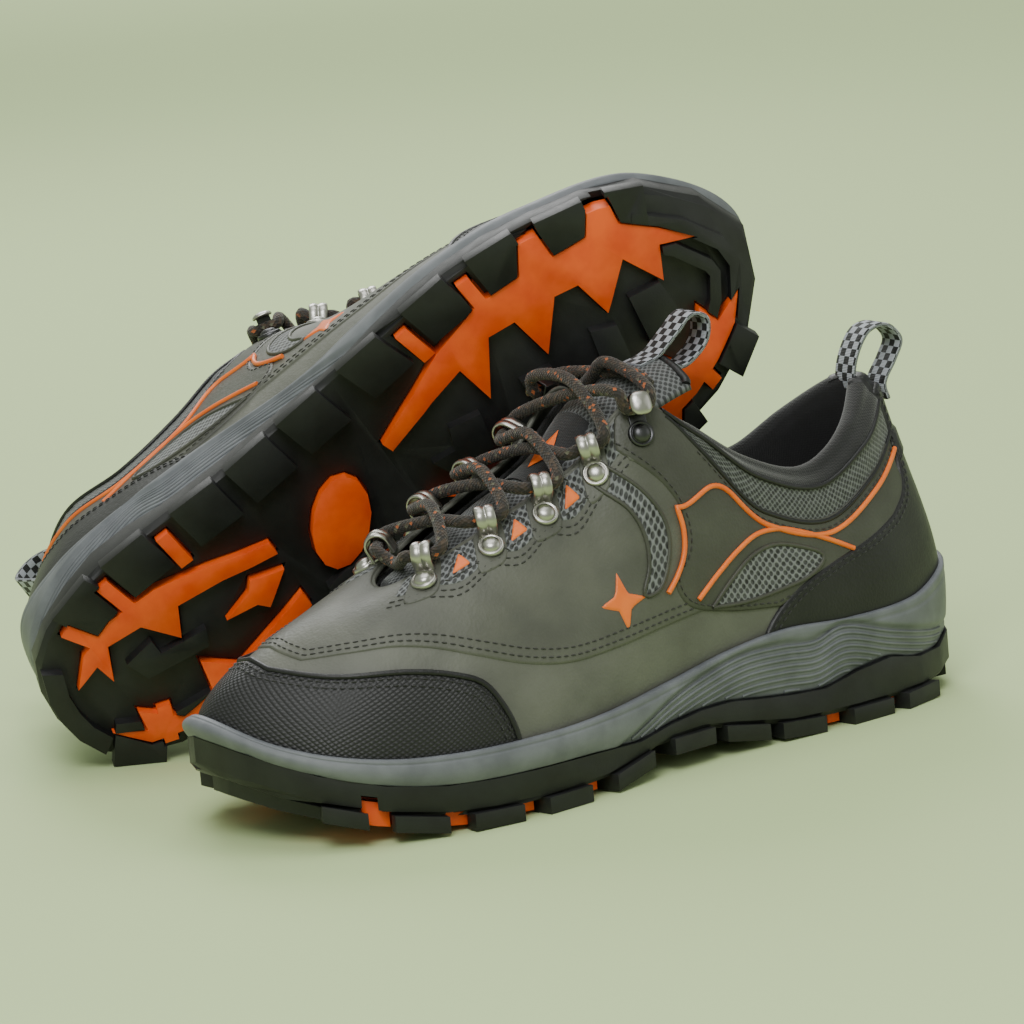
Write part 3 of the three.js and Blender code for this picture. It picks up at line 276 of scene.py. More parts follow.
def even(p, step):
    """The same line with evenly spaced points."""
    run = np.concatenate([[0], np.cumsum(np.linalg.norm(np.diff(p, axis=0), axis=1))])
    n = max(2, int(round(run[-1] / step)) + 1)
    at = np.linspace(0, run[-1], n)
    return np.stack([np.interp(at, run, p[:, i]) for i in range(p.shape[1])], -1)


def side_line(rows, s, step=2.0):
    """A smooth line on the side, as (u, v), through (x, z) places."""
    return on_side(curve(rows, step), s)


# ---------------------------------------------------------------- materials
def linear(colour):
    """sRGB hex to linear RGBA."""
    v = [int(colour[i:i + 2], 16) / 255 for i in (0, 2, 4)]
    return tuple(c / 12.92 if c <= 0.04045 else ((c + 0.055) / 1.055)**2.4 for c in v) + (1,)


def add(tree, kind, values=None, links=None, **settings):
    """One more node, with its socket values, the sockets that feed it, and its settings."""
    node = tree.nodes.new(kind)
    for name, value in settings.items():
        setattr(node, name, value)
    for name, value in (values or {}).items():
        node.inputs[name].default_value = value
    for name, source in (links or {}).items():
        tree.links.new(source, node.inputs[name])
    return node


def new_material(name, colour, roughness, metallic=0.0, **sockets):
    material = bpy.data.materials.new(name)
    material.use_nodes = True
    tree = material.node_tree
    shader = tree.nodes["Principled BSDF"]
    shader.inputs["Base Color"].default_value = linear(colour)
    shader.inputs["Roughness"].default_value = roughness
    shader.inputs["Metallic"].default_value = metallic
    for socket, value in sockets.items():
        shader.inputs[socket.replace("_", " ")].default_value = value
    return material, tree, shader


def ramp(tree, source, stops, interpolation="LINEAR"):
    """Colours along a value: stops are (place, hex) pairs."""
    node = add(tree, "ShaderNodeValToRGB", links={"Fac": source})
    node.color_ramp.interpolation = interpolation
    while len(node.color_ramp.elements) < len(stops):
        node.color_ramp.elements.new(0.5)
    for e, (place, colour) in zip(node.color_ramp.elements, stops):
        e.position = place
        e.color = linear(colour)
    return node.outputs["Color"]


def bump(tree, shader, height, depth_mm, strength=1.0):
    """Adds relief to a shader, on top of any it has."""
    node = add(tree, "ShaderNodeBump", {"Strength": strength, "Distance": depth_mm * MM}, {"Height": height})
    if shader.inputs["Normal"].is_linked:
        tree.links.new(shader.inputs["Normal"].links[0].from_socket, node.inputs["Normal"])
    tree.links.new(node.outputs["Normal"], shader.inputs["Normal"])


def place_of(tree):
    return add(tree, "ShaderNodeTexCoord").outputs["Object"]


def chart_of(tree, turn=0.0):
    """The piece's own flat pattern chart, in millimetres."""
    uv = add(tree, "ShaderNodeUVMap", uv_map="Chart").outputs["UV"]
    if not turn:
        return uv
    mapping = add(tree, "ShaderNodeMapping", links={"Vector": uv})
    mapping.inputs["Rotation"].default_value = (0, 0, math.radians(turn))
    return mapping.outputs["Vector"]


def noise(tree, vector, size, detail=3.0, rough=0.5):
    return add(tree, "ShaderNodeTexNoise", {"Scale": 1 / size, "Detail": detail, "Roughness": rough},
               {"Vector": vector}).outputs["Fac"]


def cells(tree, vector, size, randomness=1.0, feature="F1"):
    return add(tree, "ShaderNodeTexVoronoi", {"Scale": 1 / size, "Randomness": randomness},
               {"Vector": vector},
               feature=feature).outputs["Distance"]


def vary(tree, shader, vector, size, dark, light, low=0.35, high=0.65):
    """Slow colour variation."""
    colour = ramp(tree, noise(tree, vector, size), [(low, dark), (high, light)])
    tree.links.new(colour, shader.inputs["Base Color"])
    return colour


def vary_roughness(tree, shader, vector, size, low, high):
    node = add(tree, "ShaderNodeMapRange", {"To Min": low, "To Max": high},
               {"Value": noise(tree, vector, size, 4)})
    tree.links.new(node.outputs["Result"], shader.inputs["Roughness"])


def leather(name, dark, light, roughness=0.5, grain=1.0):
    """Coated synthetic leather: fine pebble grain, faint creases, and slow changes of tone."""
    material, tree, shader = new_material(name, light, roughness)
    place = place_of(tree)
    vary(tree, shader, place, 22 * MM, dark, light)
    vary_roughness(tree, shader, place, 9 * MM, roughness - 0.06, roughness + 0.08)
    bump(tree, shader, cells(tree, place, 1.1 * MM), 0.07 * grain)
    bump(tree, shader, noise(tree, place, 4 * MM, 5, 0.6), 0.16 * grain)
    return material


def rubber(name, dark, light, roughness=0.55):
    """Moulded rubber: matt, with a fine moulding texture and dusty wear in its tone."""
    material, tree, shader = new_material(name, light, roughness)
    place = place_of(tree)
    vary(tree, shader, place, 12 * MM, dark, light)
    vary_roughness(tree, shader, place, 5 * MM, roughness - 0.08, roughness + 0.1)
    bump(tree, shader, noise(tree, place, 0.7 * MM, 4, 0.65), 0.05)
    return material


def open_mesh(name, hole, thread, pitch, depth=0.5, roughness=0.75):
    """Open knitted mesh: round holes between light threads."""
    material, tree, shader = new_material(name, thread, roughness, Sheen_Weight=0.15)
    chart = chart_of(tree, 45)
    hole_distance = cells(tree, chart, pitch, 0.12)
    colour = ramp(tree, hole_distance, [(0.33, hole), (0.5, thread)])
    soft = add(tree, "ShaderNodeMix", {"Factor": 0.25}, data_type="RGBA")
    tree.links.new(colour, soft.inputs[6])
    tree.links.new(ramp(tree, noise(tree, chart, 2.2, 2), [(0.35, hole), (0.65, thread)]), soft.inputs[7])
    tree.links.new(soft.outputs[2], shader.inputs["Base Color"])
    bump(tree, shader, hole_distance, depth)
    return material


def toe_guard(name):
    """Black coated toe guard with a fine raised-dot emboss; the dot tops are painted lighter and the ground
    between them darker, as painted highlight and painted shade.
    """
    material, tree, shader = new_material(name, "232327", 0.5)
    chart = chart_of(tree, 45)
    dot = cells(tree, chart, 1.35, 0.0)
    # painted highlight and shade: the colour follows the dot relief, lighter on the raised dots and darker in
    # the ground between them, though the coating itself is one black
    tree.links.new(ramp(tree, dot, [(0.1, "2c2c31"), (0.34, "0f0f12")]), shader.inputs["Base Color"])
    bump(tree, shader, dot, -0.35)
    bump(tree, shader, noise(tree, chart, 0.5, 3), 0.05)
    return material


def woven_check(name, light, dark, square):
    """Two-tone woven webbing: small checks with a rib across."""
    material, tree, shader = new_material(name, light, 0.7, Sheen_Weight=0.1)
    chart = chart_of(tree)
    check = add(tree, "ShaderNodeTexChecker", {"Scale": 1 / square, "Color1": linear(light),
                                               "Color2": linear(dark)},
                {"Vector": chart})
    tree.links.new(check.outputs["Color"], shader.inputs["Base Color"])
    rib = add(tree, "ShaderNodeTexWave", {"Scale": 0.5 / 0.9, "Distortion": 0.4, "Detail": 1},
              {"Vector": chart},
              wave_type="BANDS", bands_direction="X")
    bump(tree, shader, rib.outputs["Fac"], 0.25)
    bump(tree, shader, noise(tree, chart, 0.35, 2), 0.1)
    return material


def braid(name):
    """Round braided lace: dark brown yarns with orange and grey-green flecks."""
    material, tree, shader = new_material(name, "3b2f26", 0.75, Sheen_Weight=0.2)
    chart = chart_of(tree, 45)
    spread = add(tree, "ShaderNodeTexWhiteNoise", noise_dimensions="2D")
    snap = add(tree, "ShaderNodeVectorMath", {1: (1.1, 1.1, 1.1)}, {0: chart}, operation="SNAP")
    tree.links.new(snap.outputs[0], spread.inputs["Vector"])
    colour = ramp(tree, spread.outputs["Value"], [(0.0, "1e1814"), (0.5, "33271e"), (0.8, "47382b"),
                                                  (0.92, "a3562a"), (0.97, "5a5947")],
                  "CONSTANT")
    tree.links.new(colour, shader.inputs["Base Color"])
    bump(tree, shader, cells(tree, chart, 1.1, 0.0), -0.5)
    return material


def metal(name, colour, roughness):
    """Plated metal: polished, with faint scuffs."""
    material, tree, shader = new_material(name, colour, roughness, 1.0)
    place = place_of(tree)
    vary_roughness(tree, shader, place, 2.5 * MM, roughness - 0.05, roughness + 0.12)
    bump(tree, shader, noise(tree, place, 1.5 * MM, 3), 0.02)
    return material


def thread(name, colour):
    """Sewing thread: twisted, slightly glossy."""
    material, tree, shader = new_material(name, colour, 0.6, Sheen_Weight=0.2)
    bump(tree, shader, noise(tree, place_of(tree), 0.3 * MM, 2), 0.05)
    return material


def knit(name, dark, light):
    """Close black knit of the lining."""
    material, tree, shader = new_material(name, light, 0.85, Sheen_Weight=0.3)
    place = place_of(tree)
    vary(tree, shader, place, 6 * MM, dark, light)
    bump(tree, shader, cells(tree, place, 0.9 * MM, 0.3), 0.2)
    return material


VAMP = leather("vamp synthetic leather", "54554e", "62635b", 0.52)
HIDE = leather("grey-olive synthetic leather", "4a4b44", "585950", 0.5)
SADDLE = leather("dark olive synthetic leather", "383932", "45463d", 0.48)
BLACK_HIDE = leather("black synthetic leather", "0c0c0e", "161619", 0.44)
GUARD = toe_guard("embossed toe guard")
MESH = open_mesh("open grey mesh", "0b0b0c", "7c7e81", 2.4)
COLLAR_MESH = open_mesh("collar grey mesh", "161718", "6a6c6e", 1.7, 0.35)
LINING = knit("black knitted lining", "08080a", "111114")
FOAM = rubber("blue-grey midsole foam", "5a5d63", "6b6e74", 0.52)
SOLE = rubber("black sole rubber", "0c0c0e", "17181a", 0.52)
ORANGE = rubber("orange sole rubber", "e04a0a", "f25e16", 0.5)
PIPING = rubber("orange piping", "ea6a20", "f47a2e", 0.42)
STEEL = metal("polished steel", "aeaca7", 0.28)
GUNMETAL = metal("dark plated steel", "4e4e50", 0.34)
DARK_THREAD = thread("dark sewing thread", "23231f")
BLACK_THREAD = thread("black sewing thread", "0d0d0f")
LACE = braid("braided lace")
WEBBING = woven_check("checked webbing", "b4b8c2", "141417", 2.9)
LABEL = knit("woven label", "0e0e10", "18181c")
INSOLE = knit("insole cover", "131417", "1f2023")


def piece(name, points, faces, material, shoe, body="shoe", chart=None, replaces=(), smooth=True):
    """One mesh piece of one boot, from points and faces in the boot's frame."""
    mesh = bpy.data.meshes.new(f"{shoe}_{name}")
    p = to_row(points, shoe)
    flip = SHOES[shoe][2] < 0
    mesh.from_pydata(p.tolist(), [], [tuple(reversed(f)) if flip else tuple(f) for f in faces])
    if chart is not None:
        layer = mesh.uv_layers.new(name="Chart")
        index = np.zeros(len(mesh.loops), np.int32)
        mesh.loops.foreach_get("vertex_index", index)
        layer.data.foreach_set("uv", np.asarray(chart, np.float32)[index].ravel())
    if smooth:
        mesh.shade_smooth()
    obj = bpy.data.objects.new(f"{shoe}_{name}", mesh)
    bpy.context.scene.collection.objects.link(obj)
    mesh.materials.append(material)
    settle(obj, shoe, body, replaces)
    return obj


def settle(obj, shoe, body, replaces=()):
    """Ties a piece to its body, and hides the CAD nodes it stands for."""
    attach(obj, f"{shoe}_{body}")
    if replaces:
        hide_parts(*[f"{shoe}_{n}" for n in replaces])


def grid_faces(rows, columns, wrap_columns=False, wrap_rows=False):
    """Quads of a grid of points, whose index is row * columns + column."""
    faces = []
    for r in range(rows if wrap_rows else rows - 1):
        s = (r + 1) % rows
        for c in range(columns if wrap_columns else columns - 1):
            d = (c + 1) % columns
            faces.append((r * columns + c, r * columns + d, s * columns + d, s * columns + c))
    return faces


CHART_U, CHART_V = 30.0, 85.0  # mm a station and mm from foot to top, for laying patterns out flat


def inside(points, polygon):
    x, y = points[:, 0], points[:, 1]
    hit = np.zeros(len(points), bool)
    a = polygon
    b = np.roll(polygon, -1, 0)
    for (x0, y0), (x1, y1) in zip(a, b):
        cross = (y0 > y) != (y1 > y)
        with np.errstate(divide="ignore", invalid="ignore"):
            hit ^= cross & (x < (x1 - x0) * (y - y0) / (y1 - y0) + x0)
    return hit


def to_line(points, line, closed=True):
    """Distance of each point from a line of points."""
    best = np.full(len(points), 1e9)
    last = len(line) if closed else len(line) - 1
    for i in range(last):
        a, b = line[i], line[(i + 1) % len(line)]
        d = b - a
        t = np.clip(((points - a) @ d) / max(d @ d, 1e-12), 0, 1)
        best = np.minimum(best, np.linalg.norm(points - a - t[:, None] * d, axis=1))
    return best


def overlay(outline, lift, spacing=2.4, base=0.0):
    """A thin panel on the upper inside a closed (u, v) outline, as points, faces and chart."""
    scale = np.array([CHART_U, CHART_V])
    flat = even(np.vstack([outline, outline[:1]]) * scale, min(spacing, 1.6))[:-1]
    lo, hi = flat.min(0), flat.max(0)
    gx, gy = np.meshgrid(np.arange(lo[0], hi[0], spacing), np.arange(lo[1], hi[1], spacing * 0.9))
    grid = np.stack([gx.ravel(), gy.ravel()], -1)
    centre_step = np.roll(flat, -1, 0) - np.roll(flat, 1, 0)
    inward = np.stack([-centre_step[:, 1], centre_step[:, 0]], -1)
    inward /= np.maximum(np.linalg.norm(inward, axis=1, keepdims=True), 1e-9)
    area = 0.5 * np.sum(flat[:, 0] * np.roll(flat[:, 1], -1) - np.roll(flat[:, 0], -1) * flat[:, 1])
    inward *= np.sign(area)
    grid = grid[inside(grid, flat)]
    grid = grid[to_line(grid, flat) > 1.7]
    rings = []
    for d in (0.3, 1.0):
        r = flat + inward * d
        keep = inside(r, flat)
        r = r[keep]
        rings.append(r[to_line(r, flat) > d * 0.85])
    pts = np.vstack([flat, *rings, grid])
    n = len(flat)
    verts, _, faces, _, _, _ = delaunay_2d_cdt([Vector(p) for p in pts],
                                               [(i, (i + 1) % n) for i in range(n)], [], 1, 1e-5)
    flat_pts = np.array([tuple(v) for v in verts])
    uv = flat_pts / scale
    distance = to_line(flat_pts, flat)
    rounding = max(lift, 0.3)
    q = np.clip(distance / rounding, 0, 1)
    height = base + lift * np.sqrt(np.maximum(1 - (1 - q)**2, 0))
    height = np.where(distance < 0.02, base - 0.25, height)
    points = skin(uv[:, 0], uv[:, 1], height)
    tri = [tuple(f) for f in faces]
    a, b, c = (points[[f[i] for f in tri]] for i in range(3))
    facing = np.cross(b - a, c - a)
    out = normal(uv[[f[0] for f in tri], 0], uv[[f[0] for f in tri], 1])
    if np.sum(facing * out) < 0:
        tri = [tuple(reversed(f)) for f in tri]
    return points, tri, flat_pts


def inset_line(outline, distance):
    """A line inside a closed (u, v) outline, a distance from it, for a row of stitches."""
    scale = np.array([CHART_U, CHART_V])
    flat = even(np.vstack([outline, outline[:1]]) * scale, 1.5)[:-1]
    step = np.roll(flat, -2, 0) - np.roll(flat, 2, 0)
    inward = np.stack([-step[:, 1], step[:, 0]], -1)
    inward /= np.maximum(np.linalg.norm(inward, axis=1, keepdims=True), 1e-9)
    area = 0.5 * np.sum(flat[:, 0] * np.roll(flat[:, 1], -1) - np.roll(flat[:, 0], -1) * flat[:, 1])
    r = flat + inward * np.sign(area) * distance
    good = inside(r, flat) & (to_line(r, flat) > distance * 0.93)
    return r / scale, good


def runs(line, good, closed=True):
    """The stretches of a line where good is true."""
    if closed and good.all():
        return [np.vstack([line, line[:1]])]
    if closed and not good.all():
        k = int(np.argmin(good))
        line, good = np.roll(line, -k, 0), np.roll(good, -k)
    out, now = [], []
    for p, g in zip(line, good):
        if g:
            now.append(p)
        elif now:
            out.append(np.array(now))
            now = []
    if now:
        out.append(np.array(now))
    return [r for r in out if len(r) > 3]


# ---------------------------------------------------------------- what repeats, by geometry nodes
def node_group(name, sockets):
    """An empty node group with named inputs, and its two ends."""
    group = bpy.data.node_groups.new(name, "GeometryNodeTree")
    group.interface.new_socket("Geometry", in_out="INPUT", socket_type="NodeSocketGeometry")
    for label, kind in sockets:
        group.interface.new_socket(label, in_out="INPUT", socket_type=kind)
    group.interface.new_socket("Geometry", in_out="OUTPUT", socket_type="NodeSocketGeometry")
    return group, group.nodes.new("NodeGroupInput"), group.nodes.new("NodeGroupOutput")


def stitch_group():
    """Stitches along lines: a point every spacing, and a short thread on each."""
    group, start, end = node_group("row of stitches", [
        ("Spacing", "NodeSocketFloat"), ("Length", "NodeSocketFloat"), ("Radius", "NodeSocketFloat"),
        ("Thread", "NodeSocketMaterial")])
    line = add(group, "GeometryNodeMeshToCurve", links={"Mesh": start.outputs["Geometry"]})
    places = add(group, "GeometryNodeCurveToPoints",
                 links={"Curve": line.outputs["Curve"], "Length": start.outputs["Spacing"]},
                 mode="LENGTH")
    bead = add(group, "GeometryNodeMeshUVSphere", {"Segments": 8, "Rings": 6, "Radius": 1.0})
    size = add(group, "ShaderNodeCombineXYZ", links={"X": start.outputs["Radius"],
                                                     "Y": start.outputs["Radius"],
                                                     "Z": start.outputs["Length"]})
    on = add(group, "GeometryNodeInstanceOnPoints", links={
        "Points": places.outputs["Points"], "Instance": bead.outputs["Mesh"],
        "Rotation": places.outputs["Rotation"],
        "Scale": size.outputs["Vector"]})
    real = add(group, "GeometryNodeRealizeInstances", links={"Geometry": on.outputs["Instances"]})
    smooth = add(group, "GeometryNodeSetShadeSmooth", links={"Geometry": real.outputs["Geometry"]})
    paint = add(group, "GeometryNodeSetMaterial", links={"Geometry": smooth.outputs["Geometry"],
                                                         "Material": start.outputs["Thread"]})
    group.links.new(paint.outputs["Geometry"], end.inputs["Geometry"])
    return group


def bead_group():
    """A round bead along lines: piping, ribs and cords."""
    group, start, end = node_group("bead along lines", [("Radius", "NodeSocketFloat"),
                                                        ("Sides", "NodeSocketInt"),
                                                        ("Material", "NodeSocketMaterial")])
    line = add(group, "GeometryNodeMeshToCurve", links={"Mesh": start.outputs["Geometry"]})
    ring = add(group, "GeometryNodeCurvePrimitiveCircle",
               links={"Radius": start.outputs["Radius"], "Resolution": start.outputs["Sides"]})
    tube = add(group, "GeometryNodeCurveToMesh", {"Fill Caps": True},
               {"Curve": line.outputs["Curve"], "Profile Curve": ring.outputs["Curve"]})
    real = add(group, "GeometryNodeRealizeInstances", links={"Geometry": tube.outputs["Mesh"]})
    smooth = add(group, "GeometryNodeSetShadeSmooth", links={"Geometry": real.outputs["Geometry"]})
    paint = add(group, "GeometryNodeSetMaterial", links={"Geometry": smooth.outputs["Geometry"],
                                                         "Material": start.outputs["Material"]})
    group.links.new(paint.outputs["Geometry"], end.inputs["Geometry"])
    return group


STITCHES = stitch_group()
BEAD = bead_group()


def run_group(name, lines, group, settings, shoe, body, replaces=()):
    """Lines of points in the boot's frame, run through a node group and kept as a plain mesh."""
    verts, edges = [], []
    for line in lines:
        k = len(verts)
        verts.extend(to_row(line, shoe).tolist())
        edges.extend((k + i, k + i + 1) for i in range(len(line) - 1))
    source = bpy.data.meshes.new("lines")
    source.from_pydata(verts, edges, [])
    holder = bpy.data.objects.new("lines", source)
    bpy.context.scene.collection.objects.link(holder)
    modifier = holder.modifiers.new("repeat", "NODES")
    modifier.node_group = group
    ids = {s.name: s.identifier for s in group.interface.items_tree if s.in_out == "INPUT"}
    for label, value in settings.items():
        modifier[ids[label]] = value
    holder.update_tag()
    bpy.context.view_layer.update()
    evaluated = holder.evaluated_get(bpy.context.evaluated_depsgraph_get())
    mesh = bpy.data.meshes.new_from_object(evaluated)
    mesh.name = f"{shoe}_{name}"
    obj = bpy.data.objects.new(f"{shoe}_{name}", mesh)
    bpy.context.scene.collection.objects.link(obj)
    bpy.data.objects.remove(holder)
    settle(obj, shoe, body, replaces)
    return obj


def stitches(name, lines, material, shoe, spacing=3.0, body="shoe"):
    return run_group(name, lines, STITCHES, {"Spacing": spacing * MM, "Length": spacing * 0.36 * MM,
                                             "Radius": 0.36 * MM, "Thread": material}, shoe, body)


def beads(name, lines, radius, material, shoe, body="shoe", sides=8):
    return run_group(name, lines, BEAD, {"Radius": radius * MM, "Sides": sides, "Material": material},
                     shoe, body)


def lay(line, out):
    """A (u, v) line as points a height above the upper."""
    return skin(line[:, 0], line[:, 1], out)



# ---------------------------------------------------------------- outlines, as (x, z) on the side, in mm
TOE_CAP_EDGE = [(281, 57.5), (269, 55), (246, 54), (231, 51), (222, 47), (217, 39), (214, 30), (213, 20)]
TOE_CAP_CENTRE = 59.5
SEAM = [(272, 60), (258, 61.5), (246, 62), (234, 60), (219, 55), (204, 50), (186, 47), (165, 48),
        (140, 51), (110, 54)]
SEAM_CENTRE = 63
COUNTER_EDGE = [(102, 34), (96, 43), (84, 52), (68, 58), (50, 63), (34, 69)]
TAB_EDGE = [(1.35, 78), (1.1, 90), (1.0, 100)]  # the heel tab's sides: station and height
SADDLE_EDGE = [(148, 112), (134, 98), (129, 88), (129, 77), (137, 66), (133, 56), (115, 50), (92, 47)]
PIPING_FRONT = [(141, 62), (136, 67), (131.5, 74), (130, 82), (131, 90)]
PIPING_DROP = 4.5
PIPING_ARCH = [(128, 57), (118, 64), (108, 70), (98, 74), (88, 74), (78, 71), (66, 66), (56, 61)]
MESH_WINDOW = [(122, 53), (112, 61), (102, 67), (92, 69), (82, 67), (70, 61), (76, 56), (92, 53), (108, 52)]
MESH_CRESCENT = [(155, 110), (143, 98), (137, 87), (137, 77), (144, 64), (151, 63), (147, 72), (146, 82),
                 (149, 92), (158, 103)]
EMBLEM = [(160, 73), (162.6, 65.2), (170, 62.5), (162.6, 59.8), (160, 52), (157.4, 59.8), (150, 62.5),
          (157.4, 65.2)]

LOOP_SHARES = (0.713, 0.642, 0.573, 0.505)
HOOK_SHARE = 0.448
LACE_DIAMETER = 4.4
COLLAR_END = 5.5
COLLAR_BAND = 18
MESH_ROWS = 11


def throat_u(share, s):
    """The station on the throat's edge at a share of the length."""
    lo, hi = 5.5, 11.0
    for _ in range(24):
        mid = (lo + hi) / 2
        if top_line(mid)[0] < share * SOLE_LENGTH:
            lo = mid
        else:
            hi = mid
    return s * lo


def band(u):
    """The collar's height on the outside, which fades out towards the throat."""
    return COLLAR_BAND * (1 - 0.85 * smoothstep(COLLAR_END - 1.5, COLLAR_END, from_heel(u)))


def toe_centre(height):
    """The place on the toe's centre line at a height."""
    return 11.0, float(v_at_height(np.array([11.0]), height)[0])


def both(line_lateral, line_medial, centre):
    """A line from the outer side over the toe to the inner side, in (u, v) with u rising."""
    medial = line_medial.copy()
    medial[:, 0] = np.mod(medial[:, 0], ROUND)
    return np.vstack([line_lateral[::-1], [centre], medial])


def toe_cap_outline():
    out_side = side_line(TOE_CAP_EDGE, 1)
    in_side = side_line(TOE_CAP_EDGE, -1)
    edge_over = both(out_side, in_side, toe_centre(TOE_CAP_CENTRE))
    us = np.linspace(edge_over[-1, 0], edge_over[0, 0], 50)
    low = np.stack([us, np.maximum(v_lip(us) - 0.06, 0.02)], -1)
    return np.vstack([edge_over, low[1:-1]]), edge_over


def quarter_outline():
    out_side, in_side = side_line(SEAM, 1), side_line(SEAM, -1)
    seam = both(out_side, in_side, toe_centre(SEAM_CENTRE))
    us = np.linspace(seam[-1, 0], seam[0, 0], 90)
    high = np.stack([us, np.where(from_heel(us) < COLLAR_END, v_below_top(us, band(us) - 1),
                                  v_below_top(us, 0.6))], -1)
    return np.vstack([seam, high[1:-1]]), seam


def counter_outline():
    side = side_line(COUNTER_EDGE, 1)
    tab = np.array([(u, float(v_at_height(np.array([u]), z)[0])) for u, z in TAB_EDGE] + [(1.0, 0.985)])
    half = np.vstack([side, curve(np.vstack([side[-1:], tab]), 0.05)[1:]])
    mirror = side_line(COUNTER_EDGE, -1)
    tab2 = tab * (-1, 1)
    half2 = np.vstack([mirror, curve(np.vstack([mirror[-1:], tab2]), 0.05)[1:]])
    top = np.stack([np.linspace(1.0, -1.0, 12), np.full(12, 0.985)], -1)[1:-1]
    us = np.linspace(mirror[0, 0], side[0, 0], 60)
    low = np.stack([us, np.maximum(v_lip(us) - 0.06, 0.02)], -1)
    return np.vstack([half, top, half2[::-1], low[1:-1]])


def saddle_outline(s):
    front = side_line(SADDLE_EDGE, s)
    back_u = s * 1.2
    us = np.linspace(front[0, 0], back_u, 40)
    high = np.stack([us, v_below_top(us, band(us) - 1.5)], -1)
    rear = side_line([(92, 47), (60, 55), (36, 62), (24, 66)], s)
    return np.vstack([front, rear[1:], [(back_u, rear[-1, 1])], high[::-1][1:-1]]), front


def strip_outline(s):
    """The mesh strip below the throat's edge, scalloped between the fittings."""
    us = np.linspace(throat_u(0.735, s), throat_u(0.47, s), 60)
    x = top_line(us)[:, 0] / SOLE_LENGTH
    phase = np.interp(x, (0.505, 0.573, 0.642, 0.713), (0, 1, 2, 3))
    drop = 13.5 + 4.0 * np.sin(math.pi * phase)**2
    low = np.stack([us, v_below_top(us, drop)], -1)
    high = np.stack([us, v_below_top(us, 2.2)], -1)
    return np.vstack([low, high[::-1]])


def loop_line(s):
    """The long piping: up the saddle's front, round the corner and back along the collar to the heel tab."""
    front = side_line(PIPING_FRONT, s, 1.6)
    u0, v0 = front[-1]
    us = np.linspace(u0, s * 1.15, 90)[1:]
    share = smoothstep(0.0, 1.1, np.abs(us - u0))
    rest = v_below_top(us, band(us) + PIPING_DROP)
    start = float(v_below_top(np.array([u0]), float(band(u0)) + PIPING_DROP)[0])
    return np.vstack([front, np.stack([us, rest + (v0 - start) * (1 - share)], -1)])


def around(u, v, width, length, s, corner=0.45):
    """A rounded tab outline about a place: width along the boot and length down it, in mm."""
    a = np.linspace(0, 2 * math.pi, 28, endpoint=False)
    c, n = np.cos(a), np.sin(a)
    x = np.sign(c) * np.abs(c)**corner * width / 2
    y = np.sign(n) * np.abs(n)**corner * length / 2
    du = np.linalg.norm(face(np.array(u + 0.05), np.array(v)) - face(np.array(u - 0.05), np.array(v))) / 0.1
    dv = np.linalg.norm(face(np.array(u), np.array(v + 0.01)) - face(np.array(u), np.array(v - 0.01))) / 0.02
    return np.stack([u + s * x / du, v + y / dv], -1)


